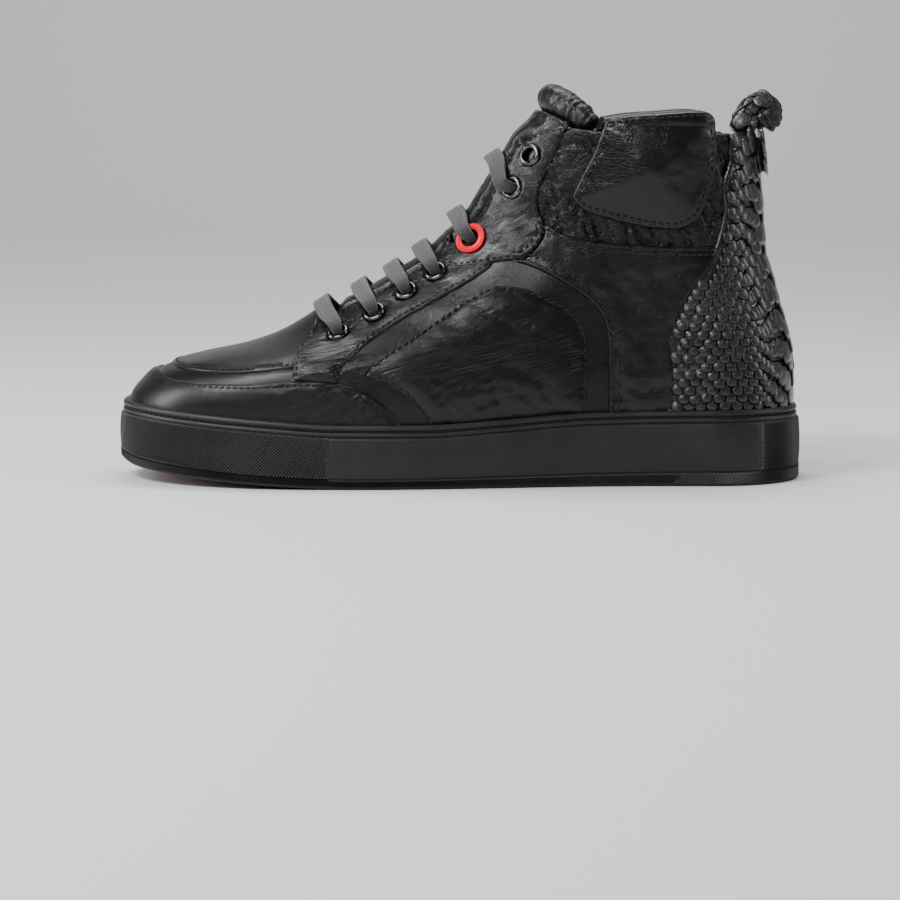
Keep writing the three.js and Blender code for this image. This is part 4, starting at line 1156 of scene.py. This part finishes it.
z = np.linspace(67, 161, 80)
tongueHalf = mixed(23.5, 26.5, ease(z, 120, 160))
tongueSide = np.stack([fromToe(tongueTurn(z, tongueHalf), z), z], axis=-1)
tongueTop = np.array([[u, 167 - 7 * (u / tongueSide[-1, 0]) ** 2]
                      for u in np.linspace(tongueSide[-1, 0], -tongueSide[-1, 0], 40)])
tongueLoop = border(tongueSide, tongueTop[1:-1], tongueSide[::-1] * [-1, 1],
                    np.array([[-tongueSide[0, 0], 67], [tongueSide[0, 0], 67]]))
tongue = panel("tonguePiece", toeSkin, tongueLoop, finish["tongueLeather"], ["tongue"],
               height=tongueHeight, foot=lambda q: tongueHeight(q) - 3.2, rim=lambda q: tongueHeight(q) - 1.6,
               roll=1.5, grid=1.9, relief=tongueRelief, body="tongue_body")

roll = {
    "line": [[58.5, -21.5, 156.5], [55.6, -19.5, 159.8], [50, -15, 164.2], [44.3, -8.2, 167.6],
             [41.8, 0, 168.9]],
    "radius": [6.0, 6.7, 7.3, 7.5, 7.4], "wrinkles": 19, "depth": 1.0,
}
half = np.array(roll["line"])
rollLine = evenly(smoothLine(np.vstack([half, half[-2::-1] * [1, -1, 1]]), 0.7), 0.8)
rollRadius = np.interp(np.linspace(0, 1, len(rollLine)), np.linspace(0, 1, 9),
                       roll["radius"] + roll["radius"][-2::-1])
rollWrinkles = [((k + random.uniform(0.2, 0.8)) / roll["wrinkles"], random.uniform(0.4, 1),
                 random.uniform(-0.02, 0.02), random.uniform(0, 6.28))
                for k in range(roll["wrinkles"])]


def rollPlace(s, t):
    count = len(rollLine) - 1
    at = t * count
    k = np.clip(at.astype(int), 0, count - 1)
    _, up, across = ribbonFrames(rollLine, np.tile([-0.55, 0, 0.84], (count + 1, 1)))
    spot, lift, side = (mixed(rows[k], rows[k + 1], (at - k)[:, None]) for rows in (rollLine, up, across))
    angle = s * 2 * math.pi
    r = np.interp(at, np.arange(count + 1), rollRadius)
    inward = np.minimum(t, 1 - t) * count * 0.8  # millimetres from the nearer end
    close = np.clip(1 - (1 - np.clip(inward / 4.5, 0, 1)) ** 3, 0, 1) ** (1 / 3)
    for where, amount, lean, phase in rollWrinkles:
        gap = (t - where + lean * np.sin(angle + phase)) * count * 0.8
        r = r - roll["depth"] * amount * np.exp(-((gap / 0.8) ** 2)) * (0.55 + 0.45 * np.sin(angle + phase))
    across, rise = side * np.cos(angle)[:, None], lift * np.sin(angle)[:, None]
    place = spot + (across * 0.92 + rise) * (r * close)[:, None]
    return place + (across + rise) * (0.35 * fractal(place, 9, 2.2) * close)[:, None]


rollPiece = makeObject("tongueRoll", wrapped("tongueRoll", 44, 130, rollPlace), finish["tongueLeather"],
                       "tongue_body", ["tongue_roll"])
print("tongue")

# Inside: linings and footbed
for name, side in sides.items():
    edge = throatEdge(side, -60, 27, 1.6)
    edge[:, 0] = side * (sum(arcs(edge[:, 1])) - np.abs(edge[:, 0]))
    x = np.linspace(147.4, -61, 120)
    base = onHeel(side, np.stack([x, fillTop(x) + 2.6], axis=-1))
    base[0, 0] = side * 0.2
    liningLoop = border(
        base, laid("heel", side, [[-61.5, 17], [-61.5, 66]]), edge,
        laid("heel", side, [[30, 146], [37, 150], [46, 153.6], [129, 153.6]]),
        np.array([[side * 4, 153.6], [side * 0.2, 153.6]]))
    rings = [hole(heelSkin, onHeel, side, spot, bore(i) + 1.6) for i, spot in enumerate(eyeletSpots)]
    panel(f"quarterLining{name}", heelSkin, liningLoop, finish["lining"],
          [f"quarter_lining_{cadSide[name]}"], height=-3.4, foot=-4.3, roll=0.4, grid=3.2, insets=(1.0, 2.6),
          relief=lambda place, away: 0 * away, holes=rings)


def outlineOn(side, offset):
    turn, z = np.linspace(0, 1, 200), np.full(200, 20.0)
    return raised(toeSkin, np.stack([side * fromToe(turn, z), z], axis=-1), offset)[:, :2]


footLoop = border(outlineOn(1, -5.3), outlineOn(-1, -5.3)[::-1])


def heelDish(place, away):
    return 1.2 * ease(-away, -14, -3) * ease(place[:, 0], 20, 60)


footbed = panel("footbedPiece", insoleSkin, footLoop, finish["footbedCloth"], ["footbed"], height=4.4,
                foot=0.0, roll=2.2, grid=3.4, insets=(0.5, 1.2, 2.2, 3.6), relief=heelDish)
print("inside")


# Eyelets: lathed rings through the leather
def spun(profile, steps, closed=False):
    bm = bmesh.new()
    verts = [bm.verts.new((r * mm, 0, h * mm)) for r, h in profile]
    pairs = zip(verts, verts[1:] + verts[:1]) if closed else zip(verts, verts[1:])
    edges = [bm.edges.new(pair) for pair in pairs]
    bmesh.ops.spin(bm, geom=verts + edges, cent=(0, 0, 0), axis=(0, 0, 1), angle=2 * math.pi, steps=steps,
                   use_merge=True)
    bmesh.ops.remove_doubles(bm, verts=bm.verts[:], dist=1e-7)
    return bm


def standing(place, way):
    return Matrix.Translation(place) @ Vector(way).to_track_quat("Z", "Y").to_matrix().to_4x4()


# ticks are the radii between which the ring's face is cut by fine radial grooves
def latheRing(profile, steps=56, ticks=None):
    bm = spun(profile, steps, True)
    if ticks:
        for v in bm.verts:
            r, step = math.hypot(v.co.x, v.co.y) / mm, round(math.atan2(v.co.y, v.co.x) / (2 * math.pi) * steps)
            if ticks[0] < r < ticks[1] and v.co.z > 2.8 * mm and step % 2:
                v.co.z -= 0.22 * mm
    bmesh.ops.recalc_face_normals(bm, faces=bm.faces[:])
    return meshFrom(bm, "ring")


ringProfiles = {  # radius and height over the last
    "small": [[3.1, -2.3], [3.1, 1.9], [3.2, 2.4], [3.5, 2.8], [3.95, 2.95], [4.4, 2.8], [4.75, 2.4],
              [4.9, 1.9], [4.9, 1.4], [3.6, 1.3], [3.6, -2.3]],
    "large": [[3.7, -2.3], [3.7, 2.3], [3.8, 2.8], [4.1, 3.1], [4.5, 3.15], [4.9, 3.12], [6.4, 3.12],
              [6.8, 3.1], [7.15, 2.95], [7.4, 2.5], [7.4, 1.7], [4.3, 1.6], [4.3, -2.3]],
}
smallRing = latheRing(ringProfiles["small"])
largeRing = latheRing(ringProfiles["large"], 120, (4.8, 6.5))


def eyeletPlace(side, index):
    place, _, _, out = spread(toeSkin, onToe(side, eyeletSpots[index:index + 1]))
    return place[0], out[0]


for name, side in sides.items():
    for index in range(7):
        place, out = eyeletPlace(side, index)
        wide = index == 4
        mesh = (largeRing if wide else smallRing).copy()
        mesh.transform(standing(Vector(place) * mm, out))
        makeObject(f"eyelet{name}{index + 1}", mesh, finish["redMetal" if wide else "gunmetal"], "shoe",
                   [f"eyelet_{cadSide[name]}_{index + 1}"])
print("eyelets")

# Lace: one flat ribbon in straight bars
lace = {"bar": 8.2, "bore": 4.2, "inside": 5, "thick": 1.9, "over": 3.6, "ribs": 7}
outwards = np.array([-0.54, 0, 0.84])
tails = {
    "fifth": [[58, 92.5, -7], [46, 95, -7], [34, 97.5, -6.6], [23, 100.5, -5.75], [13, 103.8, -5.75]],
    "sixth": [[32, 127.5, -5.75], [42, 124, -5.75], [51, 121.5, -6.6], [60, 119.6, -7], [70, 118, -7]],
}


def overThroat(index, y, offset):
    x0, z0 = eyeletSpots[index]
    low, high = -6.0, 40.0
    for _ in range(24):
        s = (low + high) / 2
        x, z = np.array([x0 + outwards[0] * s]), np.array([z0 + outwards[2] * s])
        covers = x > last["front"](z) and abs(lastPoint(1, turnOf(x, z), z)[0, 1] - centreY(x)[0]) > abs(y)
        low, high = (s, high) if covers else (low, s)
    s = low + offset
    return np.array([x0 + outwards[0] * s, y, z0 + outwards[2] * s])


# each stop along the lace: place, outward direction, width, thickness
def laceBar(index, start):
    def end(side):
        place, out = eyeletPlace(side, index)
        across = np.array([0, side, 0]) - out * side * out[1]
        across = across / np.linalg.norm(across)
        radius = 3.7 if index == 4 else 3.1
        return [
            (place - out * 4.5, across + 0.1 * outwards, lace["bore"], 2.0),
            (place + out * 0.4, across, lace["bore"], 2.0),
            (place + out * 3.1 - across * 0.7, across + 0.7 * out, lace["bore"] + 0.9, 2.0),
            (place + out * 4.7 - across * (radius + 0.6), out, 6.6, lace["thick"]),
        ]
    half = abs(eyeletPlace(1, index)[0][1])
    middle = []
    for share in (0.6, 0, -0.6):
        y = start * share * half
        middle.append((overThroat(index, y, lace["over"] + (0.5 if share else 0)),
                       outwards + np.array([0, 0.9 * y / half, 0]), lace["bar"], lace["thick"]))
    return end(start) + middle + end(-start)[::-1]


def laceInside(side, spots):
    spots = np.array(spots, float)
    place, _, _, out = spread(toeSkin, onToe(side, spots[:, :2]))
    return [(p + n * h, n, lace["inside"], lace["thick"] * 0.8) for p, n, h in zip(place, out, spots[:, 2])]


def laceRun(side, first, final, aside=0.0):
    a, b = eyeletSpots[first], eyeletSpots[final]
    way = outwards[[0, 2]]
    if abs(final - first) == 1:
        return laceInside(side, [[*mixed(a, b, share), -5.75] for share in (0.35, 0.65)])
    passed = (eyeletSpots[(first + final) // 2][0] - a[0]) / (b[0] - a[0])
    return laceInside(side, [[*(mixed(a, b, share) - way * off), -5.75]
                             for share, off in ((0.16, aside * 0.45), (passed, aside), (0.84, aside * 0.45))])


stops = (laceInside(1, tails["fifth"]) + laceBar(4, 1) + laceRun(-1, 4, 2, 6.5) + laceBar(2, -1)
         + laceRun(1, 2, 0, 6.5)
         + laceBar(0, 1) + laceRun(-1, 0, 1) + laceBar(1, -1) + laceRun(1, 1, 3, -6) + laceBar(3, 1)
         + laceRun(-1, 3, 5, -6)
         + laceBar(5, -1) + laceInside(1, tails["sixth"]))
stopPlace = np.array([p for p, _, _, _ in stops])
stopUp = np.array([n / np.linalg.norm(n) for _, n, _, _ in stops])
stopSize = np.array([[w, t] for _, _, w, t in stops])
bend = smoothLine(stopPlace, 0.4)
bendLength = lengthAlong(bend)
stopAt = np.array([bendLength[np.linalg.norm(bend - p, axis=1).argmin()] for p in stopPlace])
laceLine = evenly(bend, 0.75)
laceAt = np.linspace(0, bendLength[-1], len(laceLine))
laceUp = np.stack([np.interp(laceAt, stopAt, stopUp[:, k]) for k in range(3)], axis=-1)
laceSize = [np.interp(laceAt, stopAt, stopSize[:, k]) for k in range(2)]


# x runs from -1 to 1 across the lace, and face is 1 above and -1 below
def laceRibs(x, face):
    return face * (0.26 * np.cos(x * math.pi * lace["ribs"]) * np.clip(4 * (1 - np.abs(x)), 0, 1))


laceMesh = wrapped("laceRibbon", 46, len(laceLine) - 1, ribbonPlace(laceLine, laceUp, *laceSize, 3.4, laceRibs),
                   uv=(19.0, float(bendLength[-1])))
makeObject("laceRibbon", laceMesh, finish["lace"], "shoe", ["lace"])
print("lace length, millimetres:", round(float(bendLength[-1])))

agletProfile = [[0, -8], [1.2, -8], [1.6, -7.4], [1.6, -3.2], [1.45, -3], [1.6, -2.8], [1.6, 7.2], [1.2, 8],
                [0, 8]]
for label, cadName, tip, before in (("agletFirst", "aglet_first", 0, 4),
                                    ("agletSecond", "aglet_second", -1, -5)):
    low, high = (Vector(c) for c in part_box(cadName))
    bm = spun(agletProfile, 24)
    bmesh.ops.recalc_face_normals(bm, faces=bm.faces[:])
    turned = standing((low + high) / 2, laceLine[tip] - laceLine[before])
    bmesh.ops.transform(bm, matrix=turned, verts=bm.verts[:])
    makeObject(label, meshFrom(bm, label), finish["gunmetal"], "shoe", [cadName])

# Cupsole: one closed grid, columns round the outline and rows down the wall and under the sole
cup = {
    "columns": 1040, "wallRows": 25, "rimRows": 7, "knurl": 0.48, "panelFrom": -57, "panelTo": 133, "line": 0.5,
    "lipInside": 1.2, "treadStep": 1.7,
}


def cupOutline():
    halves = []
    for side in (1, -1):
        turn = np.linspace(0, 1, 1600)
        z = np.full(1600, 20.0)
        place, _, _, out = spread(toeSkin, np.stack([side * np.maximum(fromToe(turn, z), 1e-6), z], axis=-1))
        out[[0, -1]] = [[-1, 0, 0], [1, 0, 0]]
        far = place + out * 5
        length = lengthAlong(far)
        where = np.linspace(0, length[-1], cup["columns"] // 2 + 1)
        halves.append([np.stack([np.interp(where, length, rows[:, k]) for k in range(rows.shape[1])], axis=-1)
                       for rows in (place, out, turn[:, None])])
    joined = [np.vstack([a, b[-2::-1]]) for a, b in zip(*halves)]
    joined[1] /= np.linalg.norm(joined[1], axis=1, keepdims=True)
    return joined


cupBase, cupOut, cupTurn = cupOutline()
cupTurn = cupTurn[:, 0]
wall = mixed(5.6, 5.0, cupTurn)


def cupRow(offset, height, narrow=1.0):
    place = cupBase + cupOut * np.reshape(offset, (-1, 1))
    x = place[:, 0]
    if narrow < 1:
        x = mixed((x + x[::-1]) / 2, x, narrow)
        place = np.stack([x, centreY(x) + (place[:, 1] - centreY(x)) * narrow, 0 * x], axis=-1)
    return np.stack([place[:, 0], place[:, 1], height(x)], axis=-1)


def bandLine(x):
    return 4.6 + 2.0 * ease(x, -57, 133)


def inPanel(x):
    begun, ended = (ease(x, cup[key] - 0.3, cup[key] + 0.3) for key in ("panelFrom", "panelTo"))
    return begun * (1 - ended)


def treadZone(x):
    return np.where((x < 12.4) | (x > 47.6), 1.0, 0.0)


def below(drop):
    return lambda x: soleTop(x) - drop


lowX = (cupBase + cupOut * 5)[:, 0]
rows = [cupRow(cup["lipInside"], lambda x: soleBottom(x) + 7, narrow) for narrow in (0, 0.5)]
rows += [cupRow(offset, height) for offset, height in (
    (cup["lipInside"], lambda x: soleBottom(x) + 7), (cup["lipInside"], below(1.2)), (1.4, below(0.4)),
    (1.9, below(0.08)), (2.8, below(0)), (wall - 1.9, below(0.12)), (wall - 1.25, below(0.45)),
    (wall - 0.85, below(1.0)), (wall - 0.75, below(1.6)), (wall - 0.85, below(2.2)),
    (wall - 1.2, below(2.5)), (wall - 1.8, below(2.65)), (wall - 1.9, below(2.95)), (wall - 1.8, below(3.25)),
    (wall - 1.1, below(3.4)), (wall - 0.75, below(3.7)), (wall - 0.65, below(4.4)), (wall - 0.65, below(4.9)),
    (wall - 0.75, below(5.1)), (wall - 1.15, below(5.2)), (wall - 1.15, below(5.5)),
    (wall - 0.45, below(5.65)))]
panelMask = inPanel(lowX)
nearLine = np.exp(-(((lowX - cup["panelFrom"]) / 0.55) ** 2)) + np.exp(-(((lowX - cup["panelTo"]) / 0.55) ** 2))
parity = np.arange(cup["columns"] + 1) % 2
for j in range(cup["wallRows"]):
    share = (j + 0.5) / cup["wallRows"]
    depth = lambda x: mixed(soleTop(x) - 5.9, bandLine(x) + soleBottom(x) + 0.35, share)
    swell = 0.6 * math.sin(share * math.pi * 0.9)
    knurl = cup["knurl"] * ((parity + j) % 2) * (1 - panelMask)
    rows.append(cupRow(wall + swell - cup["line"] * nearLine + knurl - 0.25 * (1 - panelMask), depth))
for sink, drop in ((0.15, 0.12), (0.6, -0.05), (0.6, -0.35), (0.15, -0.5)):
    knurl = cup["knurl"] * (parity if drop > 0 or drop == -0.35 else 1 - parity) * (1 - panelMask)
    rows.append(cupRow(wall + 0.4 - sink * panelMask - 0.25 * (1 - panelMask) + knurl,
                       lambda x: bandLine(x) + soleBottom(x) + drop))
for j in range(cup["rimRows"]):
    share = (j + 0.5) / cup["rimRows"]
    knurl = cup["knurl"] * ((parity + j) % 2)
    rows.append(cupRow(wall + 0.15 + knurl - 0.1 * share,
                       lambda x: soleBottom(x) + mixed(bandLine(x) - 0.7, 1.0, share)))
for offset, lift in ((-0.05, 0.55), (-0.5, 0.12), (-1.2, 0.0), (-2.4, 0.0)):
    rows.append(cupRow(wall + offset, lambda x: soleBottom(x) + lift))
for offset, lift in ((-2.55, 0.0), (-2.75, 1.7)):
    rows.append(cupRow(offset, lambda x: soleBottom(x) + lift * treadZone(x)))
rows += [cupRow(-2.75, lambda x: soleBottom(x) + cup["treadStep"] * treadZone(x), narrow)
         for narrow in (0.75, 0.5, 0.25, 0)]
cupTable = np.array(rows)


def cupPlace(s, t):
    return cupTable[np.rint(t * (len(rows) - 1)).astype(int), np.rint(s * cup["columns"]).astype(int)]


cupMesh = wrapped("cupsolePiece", cup["columns"], len(rows) - 1, cupPlace)
for face in cupMesh.polygons:  # the knurl's facets stay flat
    x, tall, upright = face.center.x / mm, face.center.z / mm, abs(face.normal.z) < 0.75
    onWall = soleBottom(x) + 0.9 < tall < soleTop(x) - 5.8
    onBand = tall < soleBottom(x) + bandLine(x) - 0.6
    outside = not cup["panelFrom"] < x < cup["panelTo"]
    face.use_smooth = not (upright and onWall and (onBand or outside))
makeObject("cupsolePiece", cupMesh, finish["rubber"], "shoe", ["cupsole"])
print("cupsole rows:", len(rows))

grooveLine = cupRow(wall - 1.55, below(2.95))
soleStitches = []
grooveLength = lengthAlong(grooveLine)
for at in np.arange(1.7, grooveLength[-1], 3.5):
    spot, ahead = (np.array([np.interp(q, grooveLength, grooveLine[:, k]) for k in range(3)])
                   for q in (at, at + 0.3))
    out = np.array([np.interp(at, grooveLength, cupOut[:, k]) for k in range(3)])
    along = Vector(ahead - spot).normalized()
    soleStitches.append(placedBy(spot, ((-Vector(out), 0.42), (Vector(out).cross(along), 0.42), (along, 1.45))))
stitching("soleThread", [soleStitches], finish["thread"])


# Treads: red rubber with a fine zigzag
def zigzag(place, away):
    wave = np.abs(((place[:, 1] + 200) % 12) - 6) * 0.9
    ridge = np.abs((((place[:, 0] + wave) / 5.5) % 1) - 0.5) * 2
    return -0.9 * ease(ridge, 0.62, 0.8) * ease(away, 2.2, 3.2)


treads = {"treadForefoot": ("tread_forefoot", -200, 12), "treadHeel": ("tread_heel", 48, 200)}
for label, (cadName, start, stop) in treads.items():
    halves = [outlineOn(side, -3.0) for side in (1, -1)]
    halves = [half[(half[:, 0] > start) & (half[:, 0] < stop)] for half in halves]
    panel(label, underSkin, border(halves[0], halves[1][::-1]), finish["redRubber"], [cadName],
          height=0.0, foot=-1.6, roll=0.5, grid=1.5, insets=(0.4, 1.2, 2.2), relief=zigzag)
print("treads")

# What stays hidden inside keeps the plain solids
for cadName, key in {"midsole_foam": "foam", "insole_board": "board", "toe_puff": "board",
                     "heel_counter": "board",
                  "collar_foam_lateral": "foam", "collar_foam_medial": "foam", "vamp_lining": "lining"}.items():
    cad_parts[cadName].data.materials.clear()
    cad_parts[cadName].data.materials.append(finish[key])


# Stage: a pale floor that sweeps up into a wall
floorMesh = bpy.data.meshes.new("floor")
bm = bmesh.new()
sweep = [(-3.5, 0)] + [(2.2 + 1.2 * math.sin(a), 1.2 * (1 - math.cos(a)))
                       for a in np.linspace(0, math.pi / 2, 13)] + [(3.4, 4)]
rail = [bm.verts.new((-6, y, z)) for y, z in sweep]
edges = [bm.edges.new(pair) for pair in zip(rail, rail[1:])]
made = bmesh.ops.extrude_edge_only(bm, edges=edges)
bmesh.ops.translate(bm, vec=(12, 0, 0), verts=[g for g in made["geom"] if isinstance(g, bmesh.types.BMVert)])
bmesh.ops.recalc_face_normals(bm, faces=bm.faces[:])
for face in bm.faces:
    face.smooth = True
bm.to_mesh(floorMesh)
bm.free()
floor = bpy.data.objects.new("floor", floorMesh)
bpy.context.scene.collection.objects.link(floor)
floorMaterial = bpy.data.materials.new("paleFloor")
floorMaterial.use_nodes = True
floorMaterial.node_tree.nodes["Principled BSDF"].inputs["Base Color"].default_value = (0.62, 0.62, 0.63, 1)
floorMaterial.node_tree.nodes["Principled BSDF"].inputs["Roughness"].default_value = 0.8
floorMesh.materials.append(floorMaterial)

lights = {  # place, aim, size, power
    "key": ((-0.8, -0.85, 1.15), (-0.02, 0, 0.07), (0.6, 0.4), 25),
    "front": ((-0.3, -1.25, 0.72), (0.02, 0, 0.08), (0.28, 0.2), 5),
    "top": ((0.1, 0.35, 1.3), (0.02, 0, 0.06), (1.1, 0.5), 18),
    "heelStrip": ((1.1, -0.15, 0.55), (0.1, 0, 0.1), (0.25, 0.8), 5),
    "toeStrip": ((-1.15, -0.1, 0.45), (-0.1, 0, 0.05), (0.25, 0.7), 12),
    "wall": ((0, 1.4, 1.9), (0, 3.2, 0.9), (2.5, 0.6), 48),
}
for name, (place, aim, size, power) in lights.items():
    lamp = bpy.data.lights.new(name, "AREA")
    lamp.shape = "RECTANGLE"
    lamp.size, lamp.size_y = size
    lamp.energy = power
    lampObject = bpy.data.objects.new(name, lamp)
    lampObject.location = place
    lampObject.rotation_euler = (Vector(aim) - Vector(place)).to_track_quat("-Z", "Y").to_euler()
    bpy.context.scene.collection.objects.link(lampObject)

world = bpy.data.worlds.new("softWorld")
world.use_nodes = True
world.node_tree.nodes["Background"].inputs["Color"].default_value = (0.8, 0.84, 0.9, 1)
world.node_tree.nodes["Background"].inputs["Strength"].default_value = 0.08
bpy.context.scene.world = world

view = {"aim": (-0.00406, 0, 0.0116), "distance": 1.5, "elevation": math.radians(6.5), "lens": 132.98}
camera = bpy.data.cameras.new("camera")
camera.lens, camera.sensor_width = view["lens"], 36
camera.clip_end = 50
cameraObject = bpy.data.objects.new("camera", camera)
towards = Vector((0, -math.cos(view["elevation"]), math.sin(view["elevation"])))
cameraObject.location = Vector(view["aim"]) + view["distance"] * towards
cameraObject.rotation_euler = (math.pi / 2 - view["elevation"], 0, 0)
bpy.context.scene.collection.objects.link(cameraObject)
bpy.context.scene.camera = cameraObject
